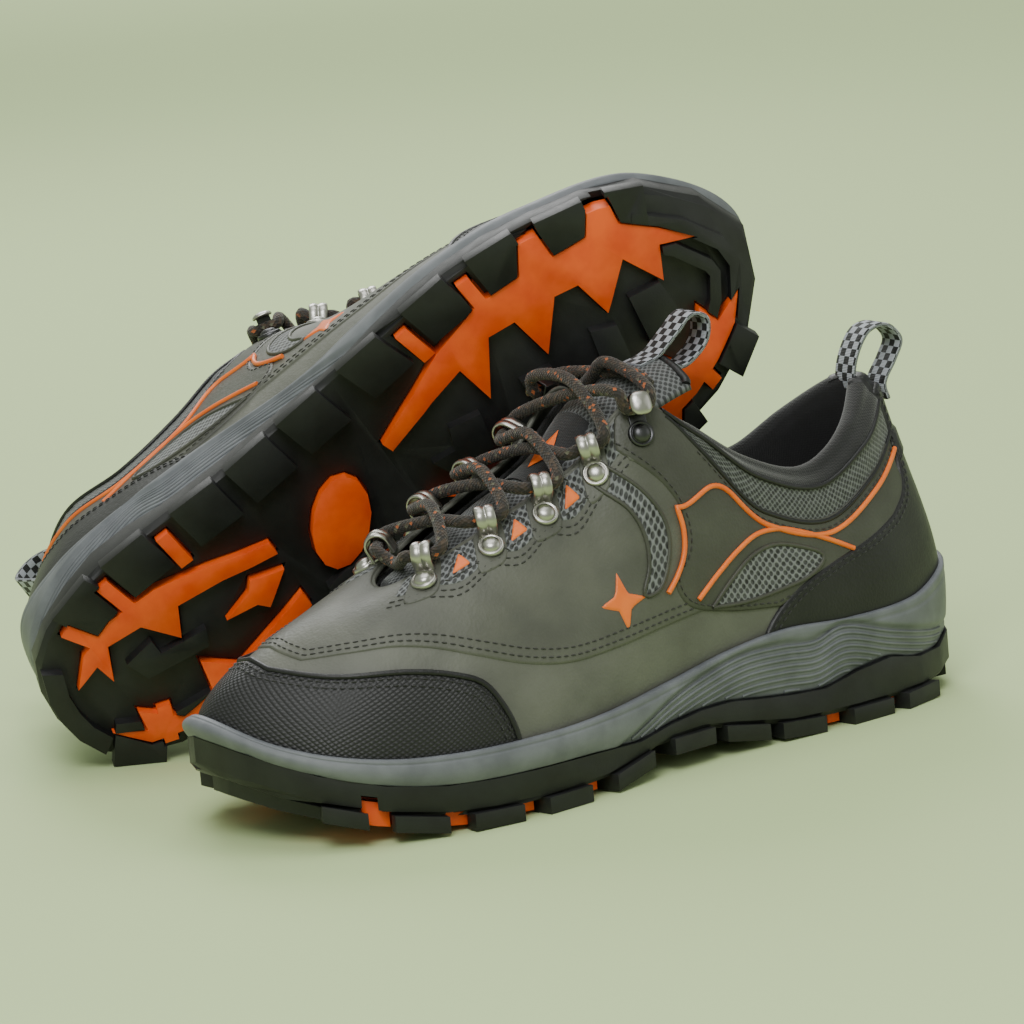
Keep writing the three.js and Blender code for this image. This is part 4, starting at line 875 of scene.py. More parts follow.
def build_upper(shoe):
    """The shell with its panels, mesh windows, stitching and piping."""
    us = np.arange(0, ROUND, 0.07)
    low = np.maximum(v_lip(us) - 0.05, 0.02)
    high = np.where(from_heel(us) < COLLAR_END + 0.05, v_below_top(us, band(us) - 2), 0.9995)
    rows, charts = [], []
    for t in np.linspace(0, 1, 44):
        v = low + (high - low) * t
        rows.append(skin(us, v, 0.0))
        charts.append(np.stack([us * CHART_U, v * CHART_V], -1))
    n = normal(us, high)
    upward = face(us, high) - face(us, high - 0.01)
    upward /= np.linalg.norm(upward, axis=1, keepdims=True)
    for depth, lift in ((0.25, 0.35), (0.8, 0.5), (1.35, 0.35), (1.6, 0), (1.6, -3)):
        rows.append(face(us, high) - n * depth + upward * lift)
        charts.append(charts[-1])
    count = len(us)
    piece("upper", np.vstack(rows), grid_faces(len(rows), count, wrap_columns=True), VAMP, shoe,
          chart=np.vstack(charts), replaces=["upper"])

    cap, cap_edge = toe_cap_outline()
    p, f, c = overlay(cap, 1.3, 2.2)
    piece("toe_cap", p, f, GUARD, shoe, chart=c, replaces=["toe_cap"])
    quarter, seam = quarter_outline()
    p, f, c = overlay(quarter, 0.5, 2.6)
    piece("quarter", p, f, HIDE, shoe, chart=c)
    counter = counter_outline()
    p, f, c = overlay(counter, 1.5, 2.4)
    piece("heel_counter", p, f, BLACK_HIDE, shoe, chart=c, replaces=["heel_counter"])
    lines_dark, lines_black, lines_piping, lines_rim = [], [], [], []
    for d in (2.0, 4.2):
        line, good = inset_line(cap, d)
        good &= line[:, 1] > v_lip(line[:, 0]) + 0.02
        lines_black += [lay(r, 1.35) for r in runs(line, good)]
        line, good = inset_line(quarter, d)
        good &= v_below_top(line[:, 0], 9.0) > line[:, 1]
        good &= from_heel(line[:, 0]) > 5.0
        lines_dark += [lay(r, 0.55) for r in runs(line, good)]
        line, good = inset_line(counter, d)
        good &= line[:, 1] > v_lip(line[:, 0]) + 0.02
        lines_black += [lay(r, 1.55) for r in runs(line, good)]
    for s, name in ((1, "lateral"), (-1, "medial")):
        outline, front = saddle_outline(s)
        p, f, c = overlay(outline, 1.0, 2.4)
        piece(f"{name}_saddle", p, f, SADDLE, shoe, chart=c, replaces=[f"{name}_saddle"])
        line, good = inset_line(outline, 2.0)
        good &= v_below_top(line[:, 0], band(line[:, 0]) + 4) > line[:, 1]
        good &= from_heel(line[:, 0]) > 3.4
        lines_dark += [lay(r, 1.05) for r in runs(line, good)]
        window = side_line(MESH_WINDOW + MESH_WINDOW[:1], s)[:-1]
        p, f, c = overlay(window, 0.35, 2.2, base=0.85)
        piece(f"{name}_mesh_window", p, f, MESH, shoe, chart=c)
        crescent = side_line(MESH_CRESCENT + MESH_CRESCENT[:1], s)[:-1]
        p, f, c = overlay(crescent, 0.3, 2.2, base=0.4)
        piece(f"{name}_mesh_crescent", p, f, MESH, shoe, chart=c)
        lines_rim += [lay(np.vstack([crescent, crescent[:1]]), 0.6),
                      lay(np.vstack([window, window[:1]]), 1.1)]
        p, f, c = overlay(on_side(np.array(EMBLEM, float), s), 0.5, 1.6, base=0.5)
        piece(f"{name}_emblem", p, f, PIPING, shoe, chart=c)
        lines_piping += [lay(loop_line(s), 1.15), lay(side_line(PIPING_ARCH, s, 1.6), 1.1)]
        strip = strip_outline(s)
        p, f, c = overlay(strip, 0.3, 2.2, base=0.4)
        piece(f"{name}_throat_mesh", p, f, MESH, shoe, chart=c)
        n_low = 60
        below = strip[:n_low].copy()
        below[:, 1] -= 2.0 / CHART_V
        lines_dark += [lay(below, 0.55)]
        below = below.copy()
        below[:, 1] -= 2.4 / CHART_V
        lines_dark += [lay(below, 0.55)]
        for i, share in enumerate(LOOP_SHARES + (HOOK_SHARE,)):
            u = throat_u(share, s)
            v = float(v_below_top(u, 9.0 if i < 4 else 11.0)[0])
            tab = around(u, v, 13, 19, s)
            p, f, c = overlay(tab, 0.35, 1.8, base=0.5)
            piece(f"{name}_tab_{i + 1}", p, f, HIDE, shoe, chart=c)
        for i in range(3):
            u = throat_u((LOOP_SHARES[i] + LOOP_SHARES[i + 1]) / 2, s)
            v = float(v_below_top(u, 9.5)[0])
            du = 4.6 / CHART_U
            tri = np.array([(u - s * du * 1.0, v - 0.028), (u + s * du * 0.9, v - 0.04),
                            (u + s * du * 0.1, v + 0.062)])
            p, f, c = overlay(tri, 0.35, 1.5, base=0.6)
            piece(f"{name}_triangle_{i + 1}", p, f, PIPING, shoe, chart=c)
            closed = np.vstack([tri, tri[:1]])
            ring = np.array([(u + (q[0] - u) * 1.55, v + (q[1] - v) * 1.5) for q in closed])
            lines_dark.append(lay(even(ring * (CHART_U, CHART_V), 1.2) / (CHART_U, CHART_V), 0.75))
    stitches("dark_stitches", lines_dark, DARK_THREAD, shoe)
    stitches("black_stitches", lines_black, BLACK_THREAD, shoe)
    beads("orange_piping", lines_piping, 0.95, PIPING, shoe)
    beads("window_rims", lines_rim, 0.8, SADDLE, shoe)
    beads("toe_cap_rim", [lay(cap_edge, 1.0)], 1.1, BLACK_HIDE, shoe)


SIM_SCALE, SIM_FRAMES = 0.01, 20  # simulated at ten times life size


def puffed(points, faces, held, cap, voxel=0.0):
    """Padding pressed out between its held seams by a short cloth simulation; no point moves past cap mm."""
    mesh = bpy.data.meshes.new("pad")
    mesh.from_pydata([tuple(p) for p in points * SIM_SCALE], [], [tuple(int(i) for i in f) for f in faces])
    obj = bpy.data.objects.new("pad", mesh)
    scene = bpy.context.scene
    scene.collection.objects.link(obj)
    if voxel:
        remesh = obj.modifiers.new("remesh", "REMESH")
        remesh.mode, remesh.voxel_size = "VOXEL", voxel * SIM_SCALE
        even_mesh = bpy.data.meshes.new_from_object(obj.evaluated_get(bpy.context.evaluated_depsgraph_get()))
        obj.modifiers.clear()
        obj.data = even_mesh
    rest = np.array([tuple(v.co) for v in obj.data.vertices]) / SIM_SCALE
    group = obj.vertex_groups.new(name="held")
    group.add([int(i) for i in np.flatnonzero(held(rest))], 1.0, "REPLACE")
    cloth = obj.modifiers.new("cloth", "CLOTH")
    cloth.settings.quality = 5
    cloth.settings.mass = 0.05
    cloth.settings.use_pressure = True
    cloth.settings.uniform_pressure_force = 4
    cloth.settings.vertex_group_mass = "held"
    cloth.settings.effector_weights.gravity = 0
    cloth.point_cache.frame_start, cloth.point_cache.frame_end = 1, SIM_FRAMES
    for frame_number in range(1, SIM_FRAMES + 1):
        scene.frame_set(frame_number)
    made = obj.evaluated_get(bpy.context.evaluated_depsgraph_get()).to_mesh()
    shift = np.array([tuple(v.co) for v in made.vertices]) / SIM_SCALE - rest
    scene.frame_set(1)
    bpy.data.objects.remove(obj)
    size = np.linalg.norm(shift, axis=1, keepdims=True)
    shift *= np.minimum(1, cap / np.maximum(size, 1e-9))
    tree = KDTree(len(rest))
    for i, q in enumerate(rest):
        tree.insert(q, i)
    tree.balance()
    out = points.copy()
    for i, q in enumerate(points):
        near = tree.find_n(q, 4)
        weights = np.array([1 / (d + 0.3) for _, _, d in near])
        out[i] += (shift[[j for _, j, _ in near]] * weights[:, None]).sum(0) / weights.sum()
    return out


def build_collar(shoe):
    """The padded collar: grey mesh outside, a black lining rolled over the top and down inside."""
    us = np.arange(-COLLAR_END, COLLAR_END + 0.01, 0.08)
    fade = smoothstep(0, 0.9, COLLAR_END - np.abs(us))
    flat = 0.2 + 0.8 * smoothstep(0.9, 2.0, np.abs(us))
    bottom = v_below_top(us, band(us))
    n = normal(us, np.full(us.shape, 0.97))
    upward = face(us, np.full(us.shape, 1.0)) - face(us, np.full(us.shape, 0.97))
    upward /= np.linalg.norm(upward, axis=1, keepdims=True)
    rows = []
    for t in np.linspace(0, 1, 16):
        v = bottom + (1 - bottom) * t
        arch = math.sin(math.pi * min(t * 0.93 + 0.02, 1))**0.6
        puff = 0.2 + (1.9 * fade * flat + 0.2) * arch - 2.2 * smoothstep(0.75, 1, t) * fade
        rows.append(skin(us, v, puff))
    radius = 0.9 + 3.1 * fade
    edge_row = rows[-1]
    centre = edge_row - n * radius[:, None]
    roll = []
    for a in np.linspace(0, math.pi, 11)[1:]:
        across, over = radius * math.cos(a), radius * 0.9 * math.sin(a)
        roll.append(centre + n * across[:, None] + upward * over[:, None])
    inner = []
    for t in np.linspace(0, 1, 14)[1:]:
        v = 1 - (1 - v_below_top(us, band(us) + 11)) * t
        depth = (2.0 * fade + 0.2 + 2 * radius) * (1 - 0.25 * t) + 1.6 * fade * math.sin(math.pi * t)
        inner.append(skin(us, v, -np.maximum(depth, 1.8)))
    count = len(us)

    def chart(rows_):
        return np.vstack([np.stack([us * CHART_U, np.full(count, i * 1.3)], -1) for i in range(len(rows_))])
    outer = rows[:MESH_ROWS]
    lining = rows[MESH_ROWS - 1:] + roll + inner
    ring = np.arange(len(outer) * count)
    fixed = (ring // count < 1) | (ring // count == len(outer) - 1) | (np.abs(us[ring % count]) < 1.2) \
        | (np.abs(us[ring % count]) > COLLAR_END - 0.6)
    outer_points = puffed(np.vstack(outer), grid_faces(len(outer), count), lambda q: fixed, 0.7)
    pad = piece("collar", outer_points, grid_faces(len(outer), count), COLLAR_MESH, shoe, chart=chart(outer),
                replaces=["collar"])
    roll_pad = piece("collar_lining", np.vstack(lining), grid_faces(len(lining), count), LINING, shoe)
    at = np.flatnonzero(np.abs(us) < 1.1)
    lift = np.full(len(at), 0.55)
    lift[[0, -1]] = -0.3
    tab = [skin(us[at], v_below_top(us[at], band(us[at]) + d), 1.7 + lift) for d in (9, 5, 1.5)]
    tab += [row[at] + n[at] * lift[:, None] for row in rows[1:]]
    tab += [row[at] + (n[at] * math.cos(a) + upward[at] * math.sin(a)) * lift[:, None]
            for row, a in zip(roll[:7], np.linspace(0, math.pi, 11)[1:8])]
    piece("heel_tab", np.vstack(tab), grid_faces(len(tab), len(at)), BLACK_HIDE, shoe)
    beads("collar_edges", [rows[0] + n * 0.3, rows[MESH_ROWS - 1] + n * 0.1], 0.8, BLACK_HIDE, shoe)
    below = np.stack([us, v_below_top(us, band(us) + 2.6)], -1)[6:-6]
    stitches("collar_stitches", [lay(below, 1.05)], DARK_THREAD, shoe)


# ---------------------------------------------------------------- tongue
TONGUE_FRONT, TONGUE_CORNER, TONGUE_TOP, TONGUE_RISE = 0.745, 0.455, 0.352, 11


QUILT = 22  # mm between the tongue's quilting channels


def throat_edge(x):
    return top_line(np.array(throat_u(x / SOLE_LENGTH, 1)))


def tongue_line(x):
    corner = TONGUE_CORNER * SOLE_LENGTH
    if x >= corner:
        return throat_edge(x)[2] - 1
    t = (corner - x) / (corner - TONGUE_TOP * SOLE_LENGTH)
    return throat_edge(corner)[2] - 1 + TONGUE_RISE * t * (1.35 - 0.35 * t)


def tongue_half(x):
    corner = TONGUE_CORNER * SOLE_LENGTH
    w = throat_edge(max(x, corner))[1] - 1.1
    return min(w, throat_edge(corner)[1] - 3.2) if x < corner else min(w, 19)


def tongue_point(x, share, depth):
    w = tongue_half(x)
    slope = (tongue_line(x + 1) - tongue_line(x - 1)) / 2
    n = np.array((-slope, 0, 1)) / math.hypot(slope, 1)
    return np.array((x, share * w, tongue_line(x) - 8 * share * share)) - n * depth


def build_tongue(shoe):
    """The padded tongue, its label and mark, and its bound edge."""
    xs = np.linspace(TONGUE_TOP * SOLE_LENGTH, TONGUE_FRONT * SOLE_LENGTH, 70)
    across = np.sin(np.linspace(-math.pi / 2, math.pi / 2, 21))
    rows, chart = [], []
    for i, x in enumerate(xs):
        end = min(1.0, (x - xs[0]) / 5 + 0.15) ** 0.5
        quilt = 0.55 + 0.45 * abs(math.sin(math.pi * (x - xs[0]) / QUILT))
        top = [tongue_point(x + (1 - end) * 2, q, 0.6 - 1.7 * end * quilt * (1 - q**4)) for q in across]
        low = [tongue_point(x + (1 - end) * 2, q, 2.4 + 2.6 * end * (1 - q**4)) for q in across[::-1]]
        rows.append(np.array(top + low))
        chart.append(np.array([(x, q * 22) for q in across] + [(x, q * 22) for q in across[::-1]]))
    n = rows[0].shape[0]
    faces = grid_faces(len(rows), n, wrap_columns=True)
    points = np.vstack(rows)
    k = len(points)
    points = np.vstack([points, rows[0].mean(0), rows[-1].mean(0)])
    last = (len(rows) - 1) * n
    faces += [(k, (i + 1) % n, i) for i in range(n)]
    faces += [(k + 1, last + i, last + (i + 1) % n) for i in range(n)]
    chart = np.vstack([np.vstack(chart), [(0, 0), (0, 0)]])
    sewn = 1.6  # half width of a quilting channel
    points = puffed(points, faces, lambda q: (np.abs(np.mod(q[:, 0] - xs[0] + 2, QUILT) - 2) < sewn)
                    | (np.abs(q[:, 1]) > 13) | (q[:, 0] > 0.46 * SOLE_LENGTH), 1.1, 2.0)
    pad = piece("tongue", points, faces, COLLAR_MESH, shoe, "tongue", chart=chart, replaces=["tongue"])
    label, faces, chart = [], [], []
    xs = np.linspace(0.475 * SOLE_LENGTH, 0.56 * SOLE_LENGTH, 14)
    for x in xs:
        label.append([tongue_point(x, q, -1.4 if abs(q) < 0.59 else -0.3)
                      for q in np.linspace(-0.6, 0.6, 12)])
    piece("tongue_label", np.vstack(label), grid_faces(14, 12), LABEL, shoe, "tongue",
          replaces=["tongue_label"])
    diamond = ((0.493, 0.0), (0.517, 0.26), (0.541, 0.0), (0.517, -0.26))
    mark = [tongue_point(a * SOLE_LENGTH, b, -1.9) for a, b in diamond]
    piece("tongue_mark", np.array(mark), [(0, 1, 2, 3)], PIPING, shoe, "tongue",
          smooth=False)
    lip = [tongue_point(TONGUE_TOP * SOLE_LENGTH + 1.6 + 16 * max(abs(q) - 0.9, 0), q, 0.6)
           for q in np.linspace(-0.96, 0.96, 40)]
    beads("tongue_binding", [np.array(lip)], 1.7, BLACK_HIDE, shoe, body="tongue")


# ---------------------------------------------------------------- webbing pull loops
def strap(name, line, shoe, body, node):
    """Flat webbing along a line of (x, z) places on the centre line."""
    p = curve(np.array(line, float), 0.8)
    p = np.stack([p[:, 0], 0 * p[:, 0], p[:, 1]], -1)
    t = np.gradient(p, axis=0)
    t /= np.linalg.norm(t, axis=1, keepdims=True)
    n = np.stack([t[:, 2], 0 * t[:, 0], -t[:, 0]], -1)
    w, h = 5.5, 0.75
    section = [(h, w - 0.3), (h, 2.5), (h, 0), (h, -2.5), (h, 0.3 - w), (0.4, -w), (-0.4, -w),
               (-h, 0.3 - w), (-h, -2.5), (-h, 0), (-h, 2.5), (-h, w - 0.3), (-0.4, w), (0.4, w)]
    run = np.concatenate([[0], np.cumsum(np.linalg.norm(np.diff(p, axis=0), axis=1))])
    rows, chart = [], []
    for i in range(len(p)):
        rows.append(np.array([p[i] + n[i] * a + np.array((0, b, 0)) for a, b in section]))
        chart.append(np.array([(run[i], b + 20.8 if a >= 0 else b + 41.6) for a, b in section]))
    count = len(section)
    faces = grid_faces(len(rows), count, wrap_columns=True)
    last = (len(rows) - 1) * count
    faces += [tuple(range(count))[::-1], tuple(last + i for i in range(count))]
    piece(name, np.vstack(rows), faces, WEBBING, shoe, body, chart=np.vstack(chart), replaces=[node])


def build_straps(shoe):
    """The webbing loops at the heel and on the tongue."""
    half = 0.75
    heel = np.array([0.0])
    out = 1.1 + 0.9 + half
    low = skin(heel, v_below_top(heel, 9), out)[0]
    outer = skin(heel, v_below_top(heel, 3), out)[0]
    inner = skin(heel, v_below_top(heel, 1), -8 - 1.5 - half)[0]
    top = top_line(np.array(0.0))
    h = 21
    strap("heel_loop", [(low[0], low[2]), (outer[0], outer[2]), (top[0] - 9, top[2] + 0.3 * h),
                        (top[0] - 12, top[2] + 0.6 * h), (top[0] - 6, top[2] + 0.9 * h),
                        (top[0] + 2, top[2] + 0.86 * h), (top[0] + 8, top[2] + 0.5 * h),
                        (inner[0] + 0.6, inner[2] + 5), (inner[0], inner[2] + 0.5)],
          shoe, "heel_loop", "heel_loop")
    x = TONGUE_TOP * SOLE_LENGTH
    front, lip = tongue_point(x + 11, 0, -0.3 - half), tongue_point(x + 3, 0, -0.3 - half)
    inner = tongue_point(x - half - 0.6, 0, 3.5)
    h = 20
    strap("tongue_loop", [(front[0], front[2]), (lip[0], lip[2]), (x - 5, lip[2] + 0.32 * h),
                          (x - 13, lip[2] + 0.62 * h), (x - 19, lip[2] + 0.5 * h), (x - 18, lip[2] + 0.1 * h),
                          (inner[0] - 5, inner[2] - 2), (inner[0], inner[2])],
          shoe, "tongue", "tongue_loop")


# ---------------------------------------------------------------- lace fittings
METAL_WALL, TUNNEL_RADIUS, LOOP_LENGTH, RIVET_AT, TUNNEL_AT = 1.1, 3.6, 7, -4.4, 4.2
TUNNEL_HEIGHT = METAL_WALL + TUNNEL_RADIUS
NECK_AT = 5.2
CAP_UNDER = METAL_WALL + LACE_DIAMETER + 2.8


def fitting(share, s):
    """A fitting's own axes (along, up, out) and place on the upper."""
    u = throat_u(share, s)
    v = float(v_below_top(u, 5.6)[0])
    u_, v_ = np.array(u), np.array(v)
    n = normal(u_, v_)
    upward = face(u_, v_ + 0.02) - face(u_, v_ - 0.02)
    upward /= np.linalg.norm(upward)
    along = np.cross(upward, n)
    along /= np.linalg.norm(along)
    return np.stack([along, upward, n]), skin(u_, v_, 0.55)


def lathe(rows, y, sides=28):
    """A turned shape from (radius, height) rows."""
    points, faces = [], []
    for r, z in rows:
        for i in range(sides):
            a = 2 * math.pi * i / sides
            points.append((r * math.cos(a), y + r * math.sin(a), z))
    faces = grid_faces(len(rows), sides, wrap_columns=True)
    return np.array(points), faces


def rounded_box(x0, x1, y0, y1, z0, z1, r):
    bm = bmesh.new()
    bmesh.ops.create_cube(bm, size=1)
    for v in bm.verts:
        v.co = ((x0 + x1) / 2 + v.co.x * (x1 - x0), (y0 + y1) / 2 + v.co.y * (y1 - y0),
                (z0 + z1) / 2 + v.co.z * (z1 - z0))
    bmesh.ops.bevel(bm, geom=list(bm.edges) + list(bm.verts), offset=r, segments=3, affect="EDGES",
                    profile=0.5)
    bm.verts.index_update()
    points = np.array([tuple(v.co) for v in bm.verts])
    faces = [tuple(v.index for v in f.verts) for f in bm.faces]
    bm.free()
    return points, faces


def merge(parts):
    points, faces, k = [], [], 0
    for p, f in parts:
        points.append(p)
        faces += [tuple(i + k for i in q) for q in f]
        k += len(p)
    return np.vstack(points), faces


def rivet(y):
    """A domed rivet in its ring."""
    rows = [(4.7, 0), (4.75, 0.6), (4.6, 1.15), (4.2, 1.5), (3.8, 1.45), (3.55, 1.15), (3.4, 1.2),
            (3.25, 1.7), (2.8, 2.3),
            (2.0, 2.8), (1.0, 3.05), (0.01, 3.1)]
    return lathe(rows, y)


def loop_shape():
    """A lace loop: two ridges side by side on a base, with a domed rivet in a ring."""
    xs = np.linspace(-LOOP_LENGTH / 2, LOOP_LENGTH / 2, 25)
    outline = []
    for z in np.linspace(0.1, TUNNEL_HEIGHT, 4)[:-1]:
        outline.append((1, 0, z))
    for a in np.linspace(0, math.pi, 17):
        outline.append((math.cos(a), math.sin(a), TUNNEL_HEIGHT))
    for z in np.linspace(TUNNEL_HEIGHT, 0.1, 4)[1:]:
        outline.append((-1, 0, z))
    rows = []
    for x in xs:
        t = abs(x) / (LOOP_LENGTH / 2)
        ridge = 0.55 * math.sin(math.pi * min(t, 1.0))**0.7 if 0 < t < 1 else 0
        rout = TUNNEL_RADIUS + 0.75 + ridge
        rows.append((x, rout))
    rin = TUNNEL_RADIUS - 0.1
    order = rows + [(x, rin) for x, _ in rows[::-1]]
    points = []
    for x, r in order:
        for cy, cz, z in outline:
            points.append((x, TUNNEL_AT + cy * r, z + cz * r))
    faces = grid_faces(len(order), len(outline), wrap_rows=True)
    base = rounded_box(-3.3, 3.3, RIVET_AT - 1, TUNNEL_AT + 4.6, 0, METAL_WALL, 0.4)
    return merge([(np.array(points), faces), base, rivet(RIVET_AT)])


def hook_shape():
    """A hook: base, neck and rivet, then its rounded cap."""
    y = RIVET_AT - 2.4
    base = rounded_box(-3.2, 3.2, y, NECK_AT + METAL_WALL, 0, METAL_WALL, 0.4)
    neck = rounded_box(-2.7, 2.7, NECK_AT, NECK_AT + METAL_WALL, METAL_WALL / 2,
                       CAP_UNDER + METAL_WALL / 2, 0.4)
    a = np.linspace(0, 2 * math.pi, 32, endpoint=False)
    x = np.sign(np.cos(a)) * np.abs(np.cos(a))**0.7 * 3.9
    y_ = np.sign(np.sin(a)) * np.abs(np.sin(a))**0.7 * 4.2
    rows = []
    for scale, z in ((0.01, -0.2), (0.9, -0.2), (1.0, 0.2), (1.0, 0.6), (0.94, 1.0), (0.8, 1.35),
                     (0.5, 1.65), (0.01, 1.75)):
        rows.append(np.stack([x * scale, y_ * scale + NECK_AT - 3.0,
                              CAP_UNDER + z - 0.035 * (x * scale)**2], -1))
    cap = np.vstack(rows), grid_faces(len(rows), len(a), wrap_columns=True)
    return merge([base, neck, rivet(y)]), cap


def build_fittings(shoe):
    """The riveted loops and hooks that hold the lace."""
    points, faces = loop_shape()
    (body_p, body_f), (cap_p, cap_f) = hook_shape()
    for s, name in ((1, "lateral"), (-1, "medial")):
        for i, share in enumerate(LOOP_SHARES):
            axes, at = fitting(share, s)
            piece(f"{name}_loop_{i + 1}", points @ axes + at, faces, STEEL, shoe,
                  replaces=[f"{name}_loop_{i + 1}"])
        axes, at = fitting(HOOK_SHARE, s)
        piece(f"{name}_hook", body_p @ axes + at, body_f, GUNMETAL, shoe, replaces=[f"{name}_hook"])
        piece(f"{name}_hook_cap", cap_p @ axes + at, cap_f, STEEL, shoe)


# ---------------------------------------------------------------- lace
def lace_line():
    """The lace's centre line, from one end round the bar to the other."""
    frames = {(sh, s): fitting(sh, s) for sh in LOOP_SHARES + (HOOK_SHARE,) for s in (1, -1)}

    def at(share, s, x, y, z):
        axes, place = frames[(share, s)]
        return np.array((x * s, y, z)) @ axes + place
    half = LOOP_LENGTH / 2
    over_gap = LACE_DIAMETER + 0.7

    def through(i, s):
        out = []
        for x in (-half - 3, -half - 0.2, half + 0.2, half + 3):
            steep = 0.7 if i == 3 else 0
            rise = 0 if abs(x) < half + 1 else 0.6 + (0.4 + steep) * math.copysign(1, x)
            out.append(at(LOOP_SHARES[i], s, x, TUNNEL_AT + rise, TUNNEL_HEIGHT + rise))
        return out

    def cross(x, over):
        lift = 1.1 + LACE_DIAMETER / 2 + 4.6 + (over_gap if over else 0)
        return np.array((x * SOLE_LENGTH, 0, tongue_line(x * SOLE_LENGTH) + lift))

    def run(s, start_over):
        points = []
        shares = LOOP_SHARES + (HOOK_SHARE,)
        for i in range(4):
            here = -s if i % 2 else s
            points += through(i, here)
            points.append(cross((shares[i] + shares[i + 1]) / 2, (i % 2 == 0) == start_over))
        last = s
        points += [at(HOOK_SHARE, last, x, y, z + METAL_WALL + LACE_DIAMETER / 2 + 0.2)
                   for x, y, z in ((-5.8, 7.4, 2), (-4.4, 2.4, 0.3), (0, 1.9, 0.2), (4.4, 2.4, 0.3),
                                   (5.6, 6.4, 0.9))]
        x = (HOOK_SHARE - 0.035) * SOLE_LENGTH
        lift = LACE_DIAMETER / 2 + 0.7
        points.append(tongue_point(x + 1, 0.45 * last, -lift - (1 if start_over else 0.3) * over_gap))
        points.append(tongue_point(x + (2 if start_over else 0), 0, -lift - (over_gap if start_over else 0)))
        points.append(tongue_point(x + (3 if start_over else -3), -0.5 * last, -lift - 0.4))
        points.append(tongue_point(x + (4 if start_over else -4), -0.8 * last, -lift + 0.3))
        return points
    bar_x = LOOP_SHARES[0] * SOLE_LENGTH + half + 1.5
    bar = np.array((bar_x, 0, tongue_line(bar_x) + LACE_DIAMETER / 2 + 1))
    return np.array(run(1, True)[::-1] + [bar] + run(-1, False))


def build_lace(shoe):
    """The laced cord, as a braided tube."""
    line = curve(lace_line(), 1.3)
    t = np.gradient(line, axis=0)
    t /= np.linalg.norm(t, axis=1, keepdims=True)
    n = np.cross(t[0], (0, 0, 1.0))
    n /= np.linalg.norm(n)
    run = np.concatenate([[0], np.cumsum(np.linalg.norm(np.diff(line, axis=0), axis=1))])
    sides = 12
    rows, chart = [], []
    for i in range(len(line)):
        n = n - t[i] * (n @ t[i])
        n /= np.linalg.norm(n)
        b = np.cross(t[i], n)
        a = np.linspace(0, 2 * math.pi, sides, endpoint=False)
        r = LACE_DIAMETER / 2 * (1 + 0.025 * np.sin(run[i] * 2 * math.pi / 2.4 + 2 * a))
        rows.append(line[i] + np.outer(r * np.cos(a), n) + np.outer(r * np.sin(a), b))
        chart.append(np.stack([np.full(sides, run[i]), a * LACE_DIAMETER / 2], -1))
    faces = grid_faces(len(rows), sides, wrap_columns=True)
    last = (len(rows) - 1) * sides
    faces += [tuple(range(sides))[::-1], tuple(last + i for i in range(sides))]
    piece("lace", np.vstack(rows), faces, LACE, shoe, chart=np.vstack(chart), replaces=["lace"])


# ---------------------------------------------------------------- midsole
CREASE = [(6, 24), (19, 25), (45, 31), (67, 37), (80, 34), (94, 35), (111, 35), (130, 31), (146, 26),
          (160, 20), (176, 13), (200, 4)]
CREASE_LINE = curve(np.array(CREASE, float), 2.0)
RIB_STEP, RIB_COUNT = 2.3, 9


def crease_height(x):
    return np.interp(x, CREASE_LINE[:, 0], CREASE_LINE[:, 1])


def wall(u, t, out=0.0):
    """The midsole's side: t from the outsole's rim to the lip."""
    u, t = np.broadcast_arrays(np.asarray(u, float), np.asarray(t, float))
    low = edge(u, 0.6, lambda x: rim_height(x) + 0.3)
    mid = edge(u, 0.2, lambda x: (rim_height(x) + lip_height(x)) / 2)
    vl = v_lip(u.ravel()).reshape(u.shape)
    high = skin(u, vl, 3.4)
    w = t[..., None]
    p = (1 - w)**2 * low + 2 * w * (1 - w) * (2 * mid - (low + high) / 2) + w * w * high
    tan = edge_line(u, True)
    n = np.stack([-tan[..., 1], tan[..., 0], 0 * tan[..., 0]], -1)
    n /= -np.linalg.norm(n, axis=-1, keepdims=True)
    return p + n * (-np.asarray(out, float)[..., None])


